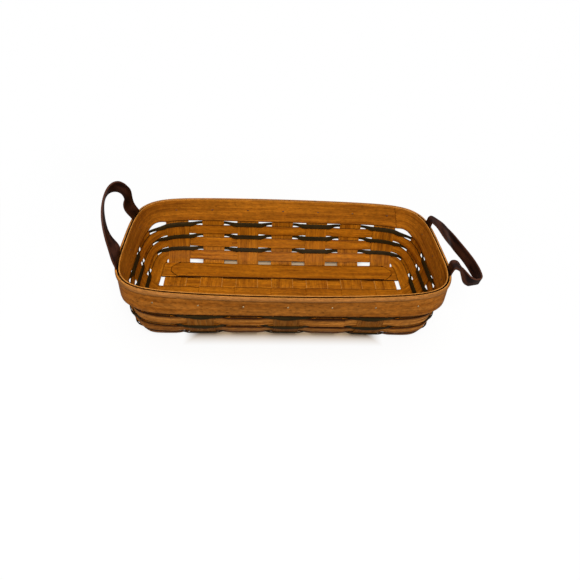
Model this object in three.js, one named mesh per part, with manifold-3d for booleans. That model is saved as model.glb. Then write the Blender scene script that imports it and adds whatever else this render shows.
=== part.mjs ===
// Handwoven oblong bread basket with two leather loop handles.
// Millimetres, +Z up. +X runs along the basket and +Y points to its back wall.
// The origin is on the underside of the floor, at the basket's centre.

import * as THREE from "three";
import Module from "manifold-3d";

// Splints: flat strips woven into the floor, whose ends turn up as the wall's stakes
const FIT_GAP = 0.3;
const SPLINT_THICKNESS = 1.2;
const SPLINT_WIDTH = 28.2;
const SPLINT_PITCH = 45.7;
const CROSS_COUNT = 7;
const LONG_NAMES = ["front", "middle", "back"];
const FILLER_WIDTH = 13;
const FILLER_HALF_LENGTH = 148;
const RUNNER_HALF_LENGTH = 149.5;
const RUNNER_CLIP = 10;

// Wall: a tight foot bend, a wide belly bend, then straight to the rim
const FLOOR_HALF_LENGTH = 154.8;
const FLOOR_HALF_WIDTH = 61;
const FOOT_RADIUS = 6;
const FOOT_TURN = THREE.MathUtils.degToRad(40);
const BELLY_RADIUS = 28;
const WALL_TILT = THREE.MathUtils.degToRad(76.5);
const WALL_SLANT = 92;
const STAKE_TOP = 90.5;
const LEVEL_FADE = 6.5;

// Plan of the wall: a superellipse, nearly square at the floor and rounder at the rim
const FLOOR_SQUARENESS = 40;
const RIM_SQUARENESS = 4.4;

// Weavers: heights are slant lengths up the wall from the floor's bend line
const WEAVER_THICKNESS = 1;
const ROW_LINES = [59, 41.7, 24.4, 7.1];
const ROW_EDGE = 0.15;
const ROW_SLIT = 4.5;
const ACCENT_HEIGHT = 6.4;
const ACCENT_TIP_TOP = 0.4;
const ACCENT_TIP_FOOT = 4.2;
const CROSSING_MARGIN = 0.6;
const GAP_STOPS = [0.3, 0.7];
const CORNER_STOPS = [0.15, 0.35, 0.5, 0.65, 0.85];

// Rim: two bands clamp the stakes, and a half round trim runs along the outer band's top
const BAND_CLEARANCE = 1.45;
const INNER_BAND = { foot: 64.1, top: 92, thickness: 2 };
const OUTER_BAND = { foot: 61.8, top: 90, thickness: 2.4 };
const END_POCKET = 2.2;
const TRIM_CENTRE = 88.2;
const TRIM_HALF_HEIGHT = 2.6;
const TRIM_DEPTH = 2.5;

// Tacks: driven through the outer band, the stake, any strap end and the inner band
const TACK_HEIGHT = 78;
const TACK_HEAD_RADIUS = 2.2;
const TACK_HEAD_DEPTH = 1;
const TACK_SHANK_RADIUS = 0.5;
const TACK_HOLE_RADIUS = 1.1;
const TACK_PROUD = 0.6;
const TACK_SIDES = 6;

// Leather straps: the ends are held in the rim, and the loop turns about a line along Y
const STRAP_WIDTH = 14;
const STRAP_THICKNESS = 2.4;
const STRAP_END_FOOT = 66;
const STRAP_END_TOP = 94.4;
const STRAP_STEPS_PER_STATION = 4;
const HINGE_X = 181;
const HINGE_Z = 90.9;

// Stations of each loop at rest: a point on its centre line and the direction of its width
const LEFT_LOOP = [
  { at: [-HINGE_X, -SPLINT_PITCH, HINGE_Z], width: [0, 1, 0] },
  { at: [-182, -38.5, 98.7], width: [0.3, 0.93, -0.2] },
  { at: [-186.2, -27.5, 108.5], width: [0.3, 0.85, -0.4] },
  { at: [-191.4, -13.2, 124.5], width: [-0.22, 0.86, -0.42] },
  { at: [-193, 2.4, 135], width: [-0.3, 0.72, -0.6] },
  { at: [-189, 15, 139.5], width: [-0.25, 0.4, -0.8] },
  { at: [-183, 24, 137.5], width: [-0.25, 0.1, -0.86] },
  { at: [-178, 30, 127], width: [-0.5, -0.2, -0.6] },
  { at: [-177.6, 35, 112], width: [-0.62, -0.6, -0.2] },
  { at: [-178.8, 40, 101], width: [-0.4, -0.85, 0] },
  { at: [-HINGE_X, SPLINT_PITCH, HINGE_Z], width: [0, -1, 0] },
];
const RIGHT_LOOP = [
  { at: [HINGE_X, SPLINT_PITCH, HINGE_Z], width: [0, 1, 0] },
  { at: [181.7, 44.6, 92.8], width: [0, 1, 0] },
  { at: [184.6, 41, 94], width: [0.15, 1, 0.1] },
  { at: [190.3, 36, 92.4], width: [0.3, 0.8, 0.3] },
  { at: [195.6, 31, 87.2], width: [0.4, 0.5, 0.6] },
  { at: [200, 22.6, 82], width: [0.35, 0.1, 0.8] },
  { at: [206, 9.4, 78], width: [0.2, -0.1, 0.8] },
  { at: [211.7, -7.6, 75], width: [0.2, -0.1, 0.8] },
  { at: [216.7, -25.4, 73], width: [0.15, 0, 0.85] },
  { at: [217.9, -36, 72], width: [0.1, 0.1, 0.9] },
  { at: [213.2, -45.7, 72.5], width: [0, 0.1, 0.95] },
  { at: [205.6, -49.2, 74], width: [-0.1, 0.15, 0.9] },
  { at: [199, -48.6, 77.5], width: [-0.3, 0.35, 0.75] },
  { at: [193.3, -46.6, 85], width: [-0.3, 0.7, 0.45] },
  { at: [188.6, -45.6, 92], width: [-0.1, 0.95, 0.25] },
  { at: [184.4, -45, 94.2], width: [0, 1, 0.1] },
  { at: [181.7, -45.3, 92.8], width: [0, 1, 0] },
  { at: [HINGE_X, -SPLINT_PITCH, HINGE_Z], width: [0, 1, 0] },
];

// Levels of the woven floor: middle heights of its two layers, and of the runners over them
const LOW_LEVEL = SPLINT_THICKNESS / 2;
const HIGH_LEVEL = LOW_LEVEL + SPLINT_THICKNESS + FIT_GAP;
const RUNNER_LEVEL = HIGH_LEVEL + SPLINT_THICKNESS + FIT_GAP;
const HALF_SPLINT = SPLINT_WIDTH / 2;
const CROSS_EDGE = ((CROSS_COUNT - 1) / 2) * SPLINT_PITCH + HALF_SPLINT;
const LONG_EDGE = SPLINT_PITCH + HALF_SPLINT;
const WEAVER_OFFSET = SPLINT_THICKNESS / 2 + FIT_GAP + WEAVER_THICKNESS / 2;

// Places across a strip, as shares of its half width, where its faces are cut into facets
const SIDE_SHARES = [-1, 1];
const STRAP_SHARES = [-1, 0, 1];
const END_SHARES = [-1, -0.5, 0, 0.5, 1];

const wasm = await Module();
wasm.setup();

// Closed solid through a row of sections, each an equal loop of points. Every four sided face is
// split along its shorter diagonal, so that strips lying on each other are split alike.
// A ring joins its last section to its first; an open row gets a strip of faces over each end.
function loft(sections, isRing) {
  const count = sections[0].length;
  const points = sections.flat();
  const index = [];
  const spans = isRing ? sections.length : sections.length - 1;
  for (let span = 0; span < spans; span++) {
    const here = span * count;
    const next = ((span + 1) % sections.length) * count;
    for (let k = 0; k < count; k++) {
      const m = (k + 1) % count;
      const rising = points[here + k].distanceTo(points[next + m]);
      const falling = points[here + m].distanceTo(points[next + k]);
      if (rising < falling) {
        index.push(here + k, next + k, next + m);
        index.push(here + k, next + m, here + m);
      } else {
        index.push(here + k, next + k, here + m);
        index.push(next + k, next + m, here + m);
      }
    }
  }
  if (!isRing) {
    const last = (sections.length - 1) * count;
    for (let k = 0; k < count / 2 - 1; k++) {
      const far = count - 1 - k;
      index.push(k, k + 1, far - 1);
      index.push(k, far - 1, far);
      index.push(last + k, last + far - 1, last + k + 1);
      index.push(last + k, last + far, last + far - 1);
    }
  }
  const geometry = new THREE.BufferGeometry().setFromPoints(points);
  geometry.setIndex(signedVolume(geometry, index) < 0 ? index.reverse() : index);
  return geometry;
}

function signedVolume(geometry, index) {
  const position = geometry.getAttribute("position");
  const corners = [new THREE.Vector3(), new THREE.Vector3(), new THREE.Vector3()];
  let volume = 0;
  for (let i = 0; i < index.length; i += 3) {
    corners.forEach((corner, k) => corner.fromBufferAttribute(position, index[i + k]));
    volume += corners[0].dot(corners[1].clone().cross(corners[2])) / 6;
  }
  return volume;
}

function toSolid(geometry) {
  return new wasm.Manifold(new wasm.Mesh({
    numProp: 3,
    vertProperties: new Float32Array(geometry.getAttribute("position").array),
    triVerts: new Uint32Array(geometry.getIndex().array),
  }));
}

function fromSolid(solid) {
  const mesh = solid.getMesh();
  const geometry = new THREE.BufferGeometry();
  geometry.setAttribute("position", new THREE.BufferAttribute(mesh.vertProperties, 3));
  geometry.setIndex(new THREE.BufferAttribute(mesh.triVerts, 1));
  return geometry;
}

function cutHoles(geometry, holes) {
  const cut = holes.reduce((solid, hole) => solid.subtract(toSolid(hole)), toSolid(geometry));
  return fromSolid(cut);
}

// Wall's profile at a slant length: how far it has moved out and up, and how steep it is
function wallProfile(slant) {
  const footLength = FOOT_RADIUS * FOOT_TURN;
  const bellyLength = BELLY_RADIUS * (WALL_TILT - FOOT_TURN);
  if (slant < footLength) {
    const turn = slant / FOOT_RADIUS;
    return { out: FOOT_RADIUS * Math.sin(turn), up: FOOT_RADIUS * (1 - Math.cos(turn)), tilt: turn };
  }
  const footOut = FOOT_RADIUS * Math.sin(FOOT_TURN);
  const footUp = FOOT_RADIUS * (1 - Math.cos(FOOT_TURN));
  const turn = Math.min(FOOT_TURN + (slant - footLength) / BELLY_RADIUS, WALL_TILT);
  const straight = Math.max(slant - footLength - bellyLength, 0);
  return {
    out: footOut + BELLY_RADIUS * (Math.sin(turn) - Math.sin(FOOT_TURN)) + straight * Math.cos(WALL_TILT),
    up: footUp + BELLY_RADIUS * (Math.cos(FOOT_TURN) - Math.cos(turn)) + straight * Math.sin(WALL_TILT),
    tilt: turn,
  };
}

// Plan of the wall at a slant length: half sizes and exponent of its superellipse
function wallPlan(slant) {
  const { out } = wallProfile(slant);
  const share = Math.min(slant / WALL_SLANT, 1);
  const inverse = THREE.MathUtils.lerp(1 / FLOOR_SQUARENESS, 1 / RIM_SQUARENESS, share);
  return { a: FLOOR_HALF_LENGTH + out, b: FLOOR_HALF_WIDTH + out, n: 1 / inverse };
}

// A spot says where on the wall's plan a point is: at a fixed X on a side, at a fixed Y on an end,
// or along a ray that fans round a corner from the end of the last stake
const sideSpot = (x, sign) => ({ kind: "side", along: x, sign });
const endSpot = (y, sign) => ({ kind: "end", along: y, sign });
const cornerSpot = (signX, signY, angle) => ({ kind: "corner", signX, signY, angle });

function planPoint(spot, { a, b, n }) {
  if (spot.kind === "side") {
    const reach = b * (1 - Math.abs(spot.along / a) ** n) ** (1 / n);
    return new THREE.Vector2(spot.along, spot.sign * reach);
  }
  if (spot.kind === "end") {
    const reach = a * (1 - Math.abs(spot.along / b) ** n) ** (1 / n);
    return new THREE.Vector2(spot.sign * reach, spot.along);
  }
  const onRay = (reach) => new THREE.Vector2(
    CROSS_EDGE + CROSSING_MARGIN + reach * Math.cos(spot.angle),
    LONG_EDGE + CROSSING_MARGIN + reach * Math.sin(spot.angle),
  );
  let near = 0;
  let far = a;
  for (let step = 0; step < 40; step++) {
    const middle = (near + far) / 2;
    const trial = onRay(middle);
    if ((trial.x / a) ** n + (trial.y / b) ** n < 1) near = middle;
    else far = middle;
  }
  return onRay(near).multiply(new THREE.Vector2(spot.signX, spot.signY));
}

function planNormal(point, { a, b, n }) {
  const slope = (value, size) => Math.sign(value) * Math.abs(value / size) ** (n - 1) / size;
  return new THREE.Vector2(slope(point.x, a), slope(point.y, b)).normalize();
}

// Point of the wall at a spot and slant length, moved outwards along the wall's normal
function wallPoint(spot, slant, offset) {
  const plan = wallPlan(slant);
  const { up, tilt } = wallProfile(slant);
  const point = planPoint(spot, plan);
  point.addScaledVector(planNormal(point, plan), offset * Math.sin(tilt));
  return new THREE.Vector3(point.x, point.y, HIGH_LEVEL + up - offset * Math.cos(tilt));
}

function wallNormal(spot, slant) {
  return wallPoint(spot, slant, 1).sub(wallPoint(spot, slant, 0)).normalize();
}

// Two rows of points across a strip, one on each face, walked round as one loop
function stripSection(spots, slant, inner, outer, lift = 0) {
  const raise = new THREE.Vector3(0, 0, lift);
  const innerRow = spots.map((spot) => wallPoint(spot, slant, inner).add(raise));
  const outerRow = spots.map((spot) => wallPoint(spot, slant, outer).add(raise));
  return [...innerRow, ...outerRow.reverse()];
}

// Slant lengths where a stake's bends and straight are cut into flat facets, in step with the rows
function stakeStops() {
  const foot = FOOT_RADIUS * FOOT_TURN;
  const [rimLine, upperLine, middleLine, lowerLine] = ROW_LINES;
  const between = (from, to, count) =>
    Array.from({ length: count }, (_, i) => THREE.MathUtils.lerp(from, to, (i + 1) / count));
  const bends = [0, ...between(0, foot, 2), lowerLine, ...between(lowerLine, middleLine, 3)];
  return [...bends, upperLine, rimLine, ...between(rimLine, STAKE_TOP, 2)];
}

// One end of a splint turned up as a stake, as sections from the floor to the rim
function stakeSections(spotAcross, floorLevel, shares) {
  const spots = shares.map((share) => spotAcross(share * HALF_SPLINT));
  return stakeStops().map((slant) => {
    const lift = (floorLevel - HIGH_LEVEL) * Math.max(1 - slant / LEVEL_FADE, 0);
    return stripSection(spots, slant, -SPLINT_THICKNESS / 2, SPLINT_THICKNESS / 2, lift);
  });
}

// Flat strip section of the floor: one row of points on each face, across the strip
function floorSection(place, level, width, shares) {
  const row = (z) => shares.map((share) => place(share * width / 2, z));
  return [...row(level + SPLINT_THICKNESS / 2), ...row(level - SPLINT_THICKNESS / 2).reverse()];
}

const isOdd = (number) => number % 2 === 1;
const crossX = (number) => (number - (CROSS_COUNT + 1) / 2) * SPLINT_PITCH;
const longY = (row) => (row - 1) * SPLINT_PITCH;
const crossNumbers = Array.from({ length: CROSS_COUNT }, (_, i) => i + 1);

// A cross splint runs under the long splints and over the fillers at odd places, and the other
// way at even ones, stepping between levels in the narrow gaps between them
function crossSplint(number) {
  const x = crossX(number);
  const atLong = isOdd(number) ? LOW_LEVEL : HIGH_LEVEL;
  const atFiller = isOdd(number) ? HIGH_LEVEL : LOW_LEVEL;
  const fillerMiddle = SPLINT_PITCH / 2;
  const steps = [
    [HALF_SPLINT + FIT_GAP, atLong],
    [fillerMiddle - FILLER_WIDTH / 2 - FIT_GAP, atFiller],
    [fillerMiddle + FILLER_WIDTH / 2 + FIT_GAP, atFiller],
    [SPLINT_PITCH - HALF_SPLINT - FIT_GAP, atLong],
  ];
  const floorHalf = steps.map(([y, level]) => ({ y, level }));
  const mirrored = floorHalf.map(({ y, level }) => ({ y: -y, level })).reverse();
  const floor = [...mirrored, ...floorHalf].map(({ y, level }) =>
    floorSection((across, z) => new THREE.Vector3(x + across, y, z), level, SPLINT_WIDTH, SIDE_SHARES));
  const front = stakeSections((across) => sideSpot(x + across, -1), atLong, SIDE_SHARES).reverse();
  const back = stakeSections((across) => sideSpot(x + across, 1), atLong, SIDE_SHARES);
  return loft([...front, ...floor, ...back], false);
}

// Sections of a strip that runs along X, woven over some cross splints and under the others
function wovenFloor(y, width, shares, isOver) {
  return crossNumbers.flatMap((number) => {
    const level = isOver(number) ? HIGH_LEVEL : LOW_LEVEL;
    const reach = HALF_SPLINT + FIT_GAP;
    return [-reach, reach].map((step) => {
      const place = (across, z) => new THREE.Vector3(crossX(number) + step, y + across, z);
      return floorSection(place, level, width, shares);
    });
  });
}

function longSplint(row) {
  const y = longY(row);
  const left = stakeSections((across) => endSpot(y + across, -1), HIGH_LEVEL, END_SHARES).reverse();
  const right = stakeSections((across) => endSpot(y + across, 1), HIGH_LEVEL, END_SHARES);
  return loft([...left, ...wovenFloor(y, SPLINT_WIDTH, END_SHARES, isOdd), ...right], false);
}

// A filler's ends are tucked under the first and last cross splints
function floorFiller(sign) {
  const y = sign * SPLINT_PITCH / 2;
  const sections = wovenFloor(y, FILLER_WIDTH, SIDE_SHARES, (number) => !isOdd(number));
  const tip = (x) =>
    floorSection((across, z) => new THREE.Vector3(x, y + across, z), LOW_LEVEL, FILLER_WIDTH, SIDE_SHARES);
  return loft([tip(-FILLER_HALF_LENGTH), ...sections.slice(1, -1), tip(FILLER_HALF_LENGTH)], false);
}

// A runner lies over every cross splint, with its four corners clipped off
function floorRunner() {
  const half = RUNNER_HALF_LENGTH;
  const outline = new THREE.Shape([
    new THREE.Vector2(-half + RUNNER_CLIP, -HALF_SPLINT),
    new THREE.Vector2(half - RUNNER_CLIP, -HALF_SPLINT),
    new THREE.Vector2(half, -HALF_SPLINT + RUNNER_CLIP),
    new THREE.Vector2(half, HALF_SPLINT - RUNNER_CLIP),
    new THREE.Vector2(half - RUNNER_CLIP, HALF_SPLINT),
    new THREE.Vector2(-half + RUNNER_CLIP, HALF_SPLINT),
    new THREE.Vector2(-half, HALF_SPLINT - RUNNER_CLIP),
    new THREE.Vector2(-half, -HALF_SPLINT + RUNNER_CLIP),
  ]);
  const geometry = new THREE.ExtrudeGeometry(outline, { depth: SPLINT_THICKNESS, bevelEnabled: false });
  return geometry.translate(0, 0, RUNNER_LEVEL - SPLINT_THICKNESS / 2);
}

// Stops all round the wall, anticlockwise from the front left. Each has a phase, which is 1 where
// a dark weaver lies outside its stake and -1 where it lies inside, and an opening, which is 0 on
// a stake and 1 between stakes. endShare is 0 on the sides and 1 on the ends.
function wallStops() {
  const phaseOf = (isInside) => (isInside ? -1 : 1);
  const eastward = crossNumbers.map((number) => ({ along: crossX(number), phase: phaseOf(isOdd(number)) }));
  const northward = LONG_NAMES.map((_, row) => ({ along: longY(row), phase: phaseOf(row === 1) }));
  const westward = [...eastward].reverse();
  const southward = [...northward].reverse();
  const quarters = [
    { spotAt: (x) => sideSpot(x, -1), stakes: eastward, direction: 1, endShare: 0, corner: [1, -1] },
    { spotAt: (y) => endSpot(y, 1), stakes: northward, direction: 1, endShare: 1, corner: [1, 1] },
    { spotAt: (x) => sideSpot(x, 1), stakes: westward, direction: -1, endShare: 0, corner: [-1, 1] },
    { spotAt: (y) => endSpot(y, -1), stakes: southward, direction: -1, endShare: 1, corner: [-1, -1] },
  ];
  return quarters.flatMap(({ spotAt, stakes, direction, endShare, corner }) => {
    const reach = direction * (HALF_SPLINT + CROSSING_MARGIN);
    const shares = endShare === 0 ? SIDE_SHARES : END_SHARES;
    const stops = stakes.flatMap(({ along, phase }, i) => {
      const onStake = shares.map((share) =>
        ({ spot: spotAt(along + share * reach), phase, opening: 0, endShare }));
      if (i === stakes.length - 1) return onStake;
      const from = along + reach;
      const to = stakes[i + 1].along - reach;
      const inGap = GAP_STOPS.map((share) => ({
        spot: spotAt(THREE.MathUtils.lerp(from, to, share)),
        phase: phase * Math.cos(Math.PI * share),
        opening: 1,
        endShare,
      }));
      return [...onStake, ...inGap];
    });
    const lastPhase = stakes.at(-1).phase;
    const atCorner = CORNER_STOPS.map((share) => {
      const turned = endShare === 0 ? 1 - share : share;
      return {
        spot: cornerSpot(...corner, turned * Math.PI / 2),
        phase: lastPhase * Math.cos(Math.PI * share),
        opening: 1,
        endShare: THREE.MathUtils.smoothstep(1 - turned, 0, 1),
      };
    });
    return [...stops, ...atCorner];
  });
}

// A weaver passes outside one stake and inside the next; heights(stop) lists its slant lengths
// from its lower edge to its upper edge, and side is 1 or -1 times the stop's phase
function weaver(heights, side) {
  const sections = wallStops().map((stop) => {
    const middle = side * stop.phase * WEAVER_OFFSET;
    const row = (offset) => heights(stop).map((slant) => wallPoint(stop.spot, slant, offset));
    return [...row(middle - WEAVER_THICKNESS / 2), ...row(middle + WEAVER_THICKNESS / 2).reverse()];
  });
  return loft(sections, true);
}

// The lowest natural weaver lies over the belly bend, so it is cut into three facets upwards
function naturalWeaver(row) {
  const facets = row === 2 ? 3 : 1;
  const heights = ({ opening }) => {
    const foot = ROW_LINES[row + 1] + ROW_EDGE;
    const top = ROW_LINES[row] - ROW_EDGE - opening * ROW_SLIT;
    return Array.from({ length: facets + 1 }, (_, i) => THREE.MathUtils.lerp(foot, top, i / facets));
  };
  return weaver(heights, -1);
}

function accentWeaver(row) {
  const heights = ({ opening }) => [
    ROW_LINES[row] - THREE.MathUtils.lerp(ACCENT_HEIGHT, ACCENT_TIP_FOOT, opening),
    ROW_LINES[row] - ACCENT_TIP_TOP * opening,
  ];
  return weaver(heights, 1);
}

// Rim pieces follow every stop on the stakes and round the corners
const rimStops = () => wallStops().filter(({ opening, spot }) => opening === 0 || spot.kind === "corner");

// The inner band stands further in along the ends, where the strap ends pass behind it
function innerBand() {
  return loft(rimStops().map(({ spot, endShare }) => {
    const outer = -BAND_CLEARANCE - END_POCKET * endShare;
    const inner = outer - INNER_BAND.thickness;
    return [
      wallPoint(spot, INNER_BAND.foot, inner),
      wallPoint(spot, INNER_BAND.top, inner),
      wallPoint(spot, INNER_BAND.top, outer),
      wallPoint(spot, INNER_BAND.foot, outer),
    ];
  }), true);
}

function outerBand() {
  const inner = BAND_CLEARANCE;
  const outer = BAND_CLEARANCE + OUTER_BAND.thickness;
  return loft(rimStops().map(({ spot }) => [
    wallPoint(spot, OUTER_BAND.foot, inner),
    wallPoint(spot, OUTER_BAND.top, inner),
    wallPoint(spot, OUTER_BAND.top, outer),
    wallPoint(spot, OUTER_BAND.foot, outer),
  ]), true);
}

function rimTrim() {
  const back = BAND_CLEARANCE + OUTER_BAND.thickness + FIT_GAP;
  const turns = [-90, -45, 0, 45, 90].map(THREE.MathUtils.degToRad);
  return loft(rimStops().map(({ spot }) => turns.map((turn) => {
    const slant = TRIM_CENTRE + TRIM_HALF_HEIGHT * Math.sin(turn);
    return wallPoint(spot, slant, back + TRIM_DEPTH * Math.cos(turn));
  })), true);
}

// Turns a shape that points along +Z to point out of the wall at a tack's place
function setAtTack(geometry, { spot }) {
  const upwards = new THREE.Vector3(0, 0, 1);
  const turn = new THREE.Quaternion().setFromUnitVectors(upwards, wallNormal(spot, TACK_HEIGHT));
  const place = wallPoint(spot, TACK_HEIGHT, BAND_CLEARANCE + OUTER_BAND.thickness);
  return geometry.applyQuaternion(turn).translate(place.x, place.y, place.z);
}

// Depth from the outer band's face to the inner band's inner face, at a tack
const rimDepth = ({ isEnd }) =>
  2 * BAND_CLEARANCE + OUTER_BAND.thickness + INNER_BAND.thickness + (isEnd ? END_POCKET : 0);

function tackGeometry(tack) {
  const tip = -rimDepth(tack) - TACK_PROUD;
  const profile = [
    new THREE.Vector2(0, tip),
    new THREE.Vector2(TACK_SHANK_RADIUS, tip),
    new THREE.Vector2(TACK_SHANK_RADIUS, FIT_GAP),
    new THREE.Vector2(TACK_HEAD_RADIUS, FIT_GAP),
    new THREE.Vector2(TACK_HEAD_RADIUS * 0.7, FIT_GAP + TACK_HEAD_DEPTH * 0.75),
    new THREE.Vector2(0, FIT_GAP + TACK_HEAD_DEPTH),
  ];
  const lathe = new THREE.LatheGeometry(profile, TACK_SIDES).rotateX(Math.PI / 2);
  return setAtTack(lathe, tack);
}

// Square hole for a tack, as a closed prism through the whole rim
function tackHole(tack) {
  const sides = 4;
  const ring = (z) => Array.from({ length: sides }, (_, i) => new THREE.Vector3(
    TACK_HOLE_RADIUS * Math.cos(2 * Math.PI * i / sides),
    TACK_HOLE_RADIUS * Math.sin(2 * Math.PI * i / sides),
    z,
  ));
  return setAtTack(loft([ring(-rimDepth(tack) - 2 * TACK_PROUD), ring(2 * TACK_PROUD)], false), tack);
}

// A strap end stands between the stake and the inner band
function strapEnd(signX, signY) {
  const outer = -SPLINT_THICKNESS / 2 - FIT_GAP;
  const y = signY * SPLINT_PITCH;
  const spots = STRAP_SHARES.map((share) => endSpot(y + share * STRAP_WIDTH / 2, signX));
  const stops = [STRAP_END_FOOT, TACK_HEIGHT, WALL_SLANT, STRAP_END_TOP];
  return loft(stops.map((slant) => stripSection(spots, slant, outer - STRAP_THICKNESS, outer)), false);
}

// A strap loop is a flat ribbon through its stations, with ends rounded about the hinge line
function strapLoop(stations) {
  const centre = new THREE.CatmullRomCurve3(stations.map(({ at }) => new THREE.Vector3(...at)));
  const widths = new THREE.CatmullRomCurve3(stations.map(({ width }) =>
    new THREE.Vector3(...width).normalize()), false, "catmullrom");
  const steps = (stations.length - 1) * STRAP_STEPS_PER_STATION;
  const radius = STRAP_THICKNESS / 2;
  const frames = Array.from({ length: steps + 1 }, (_, i) => {
    const across = widths.getPoint(i / steps).normalize();
    const through = centre.getTangent(i / steps).cross(across).normalize();
    return { at: centre.getPoint(i / steps), across, through };
  });
  const section = ({ at, across, through }, half) => {
    const corner = (u, v) => at.clone()
      .addScaledVector(across, u * STRAP_WIDTH / 2)
      .addScaledVector(through, v * half);
    return [corner(-1, -1), corner(1, -1), corner(1, 1), corner(-1, 1)];
  };
  const rounded = (frame, outwards) => [30, 60].map(THREE.MathUtils.degToRad).map((turn) => {
    const along = frame.across.clone().cross(frame.through);
    const at = frame.at.clone().addScaledVector(along, outwards * radius * Math.sin(turn));
    return section({ ...frame, at }, radius * Math.cos(turn));
  });
  const first = rounded(frames[0], -1).reverse();
  const last = rounded(frames.at(-1), 1);
  return loft([...first, ...frames.map((frame) => section(frame, radius)), ...last], false);
}

// Materials
const NATURAL_WOOD = { color: 0xa9692c, roughness: 0.55, metalness: 0 };
const RIM_WOOD = { color: 0xb27638, roughness: 0.5, metalness: 0 };
const TRIM_WOOD = { color: 0xc08c50, roughness: 0.5, metalness: 0 };
const DARK_GREEN_WOOD = { color: 0x2e2c14, roughness: 0.6, metalness: 0 };
const BROWN_LEATHER = { color: 0x3c241e, roughness: 0.6, metalness: 0 };
const BRASS = { color: 0xb99a54, roughness: 0.35, metalness: 1 };

const basket = new THREE.Group();

function addPiece(name, geometry, finish) {
  const mesh = new THREE.Mesh(geometry, new THREE.MeshStandardMaterial(finish));
  mesh.name = name;
  basket.add(mesh);
  return mesh;
}

// Tacks, by wall, numbered along +X or +Y
const crossTacks = (wall, sign) => crossNumbers.map((number) =>
  ({ name: `tack_${wall}_${number}`, spot: sideSpot(crossX(number), sign), isEnd: false, number }));
const endTacks = (wall, sign) => LONG_NAMES.map((_, row) =>
  ({ name: `tack_${wall}_${row + 1}`, spot: endSpot(longY(row), sign), isEnd: true, row, sign }));
const sideTacks = [...crossTacks("front", -1), ...crossTacks("back", 1)];
const rimEndTacks = [...endTacks("left", -1), ...endTacks("right", 1)];
const tacks = [...sideTacks, ...rimEndTacks];
const holesOf = (chosen) => chosen.map(tackHole);

for (const number of crossNumbers) {
  const holes = holesOf(sideTacks.filter((tack) => tack.number === number));
  addPiece(`cross_splint_${number}`, cutHoles(crossSplint(number), holes), NATURAL_WOOD);
}
LONG_NAMES.forEach((name, row) => {
  const holes = holesOf(rimEndTacks.filter((tack) => tack.row === row));
  addPiece(`long_splint_${name}`, cutHoles(longSplint(row), holes), NATURAL_WOOD);
});
for (const [name, sign] of [["front", -1], ["back", 1]]) {
  addPiece(`floor_filler_${name}`, floorFiller(sign), NATURAL_WOOD);
  addPiece(`floor_runner_${name}`, floorRunner(), NATURAL_WOOD).position.y = sign * SPLINT_PITCH;
}
for (const row of [0, 1, 2]) {
  addPiece(`natural_weaver_${row + 1}`, naturalWeaver(row), NATURAL_WOOD);
  addPiece(`accent_weaver_${row + 1}`, accentWeaver(row), DARK_GREEN_WOOD);
}
addPiece("inner_band", cutHoles(innerBand(), holesOf(tacks)), RIM_WOOD);
addPiece("outer_band", cutHoles(outerBand(), holesOf(tacks)), RIM_WOOD);
addPiece("rim_trim", rimTrim(), TRIM_WOOD);
for (const tack of tacks) {
  addPiece(tack.name, tackGeometry(tack), BRASS);
}
for (const [end, signX] of [["left", -1], ["right", 1]]) {
  for (const [side, signY] of [["front", -1], ["back", 1]]) {
    const row = signY + 1;
    const holes = holesOf(rimEndTacks.filter((tack) => tack.row === row && tack.sign === signX));
    addPiece(`${end}_strap_end_${side}`, cutHoles(strapEnd(signX, signY), holes), BROWN_LEATHER);
  }
}
addPiece("left_handle_loop", strapLoop(LEFT_LOOP), BROWN_LEATHER);
addPiece("right_handle_loop", strapLoop(RIGHT_LOOP), BROWN_LEATHER);

export default basket;
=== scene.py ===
"""Studio scene of a handwoven splint bread basket with two leather loop handles."""

import math
from collections import namedtuple

import bmesh
import bpy
from bpy.props import FloatProperty, FloatVectorProperty, PointerProperty
from mathutils import Matrix, Vector, noise
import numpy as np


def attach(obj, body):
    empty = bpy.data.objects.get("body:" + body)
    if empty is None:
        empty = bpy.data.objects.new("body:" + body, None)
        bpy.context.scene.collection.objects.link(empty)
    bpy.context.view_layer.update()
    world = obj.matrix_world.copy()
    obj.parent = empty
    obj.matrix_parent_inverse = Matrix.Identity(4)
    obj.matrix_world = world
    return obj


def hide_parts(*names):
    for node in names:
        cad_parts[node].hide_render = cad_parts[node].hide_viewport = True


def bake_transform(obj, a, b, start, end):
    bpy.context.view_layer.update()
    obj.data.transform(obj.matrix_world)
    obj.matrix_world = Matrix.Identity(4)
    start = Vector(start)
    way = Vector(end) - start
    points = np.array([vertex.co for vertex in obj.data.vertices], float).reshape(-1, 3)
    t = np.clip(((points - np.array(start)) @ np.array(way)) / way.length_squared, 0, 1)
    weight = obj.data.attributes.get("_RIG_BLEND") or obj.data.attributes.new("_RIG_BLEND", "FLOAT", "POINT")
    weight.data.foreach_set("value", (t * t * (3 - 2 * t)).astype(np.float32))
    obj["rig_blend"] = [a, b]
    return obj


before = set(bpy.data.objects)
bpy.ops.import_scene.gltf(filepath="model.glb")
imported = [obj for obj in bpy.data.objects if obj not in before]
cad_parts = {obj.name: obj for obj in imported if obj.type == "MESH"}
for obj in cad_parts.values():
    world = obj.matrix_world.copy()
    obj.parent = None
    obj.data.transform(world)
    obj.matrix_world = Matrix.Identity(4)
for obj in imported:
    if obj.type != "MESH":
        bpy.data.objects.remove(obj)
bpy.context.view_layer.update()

bl_info = {
    "name": "Woven bread basket",
    "version": (1, 0, 0),
    "blender": (4, 5, 0),
    "location": "3D View > Sidebar > Basket",
    "description": "Builds a handwoven splint bread basket on its packed frame",
    "category": "Add Mesh",
}

MM = 0.001


def linear(srgb):
    """Linear RGB of an sRGB hex colour such as a0682c."""
    shares = [int(srgb[i:i + 2], 16) / 255 for i in (0, 2, 4)]
    return [s / 12.92 if s <= 0.04045 else ((s + 0.055) / 1.055) ** 2.4 for s in shares]


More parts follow.
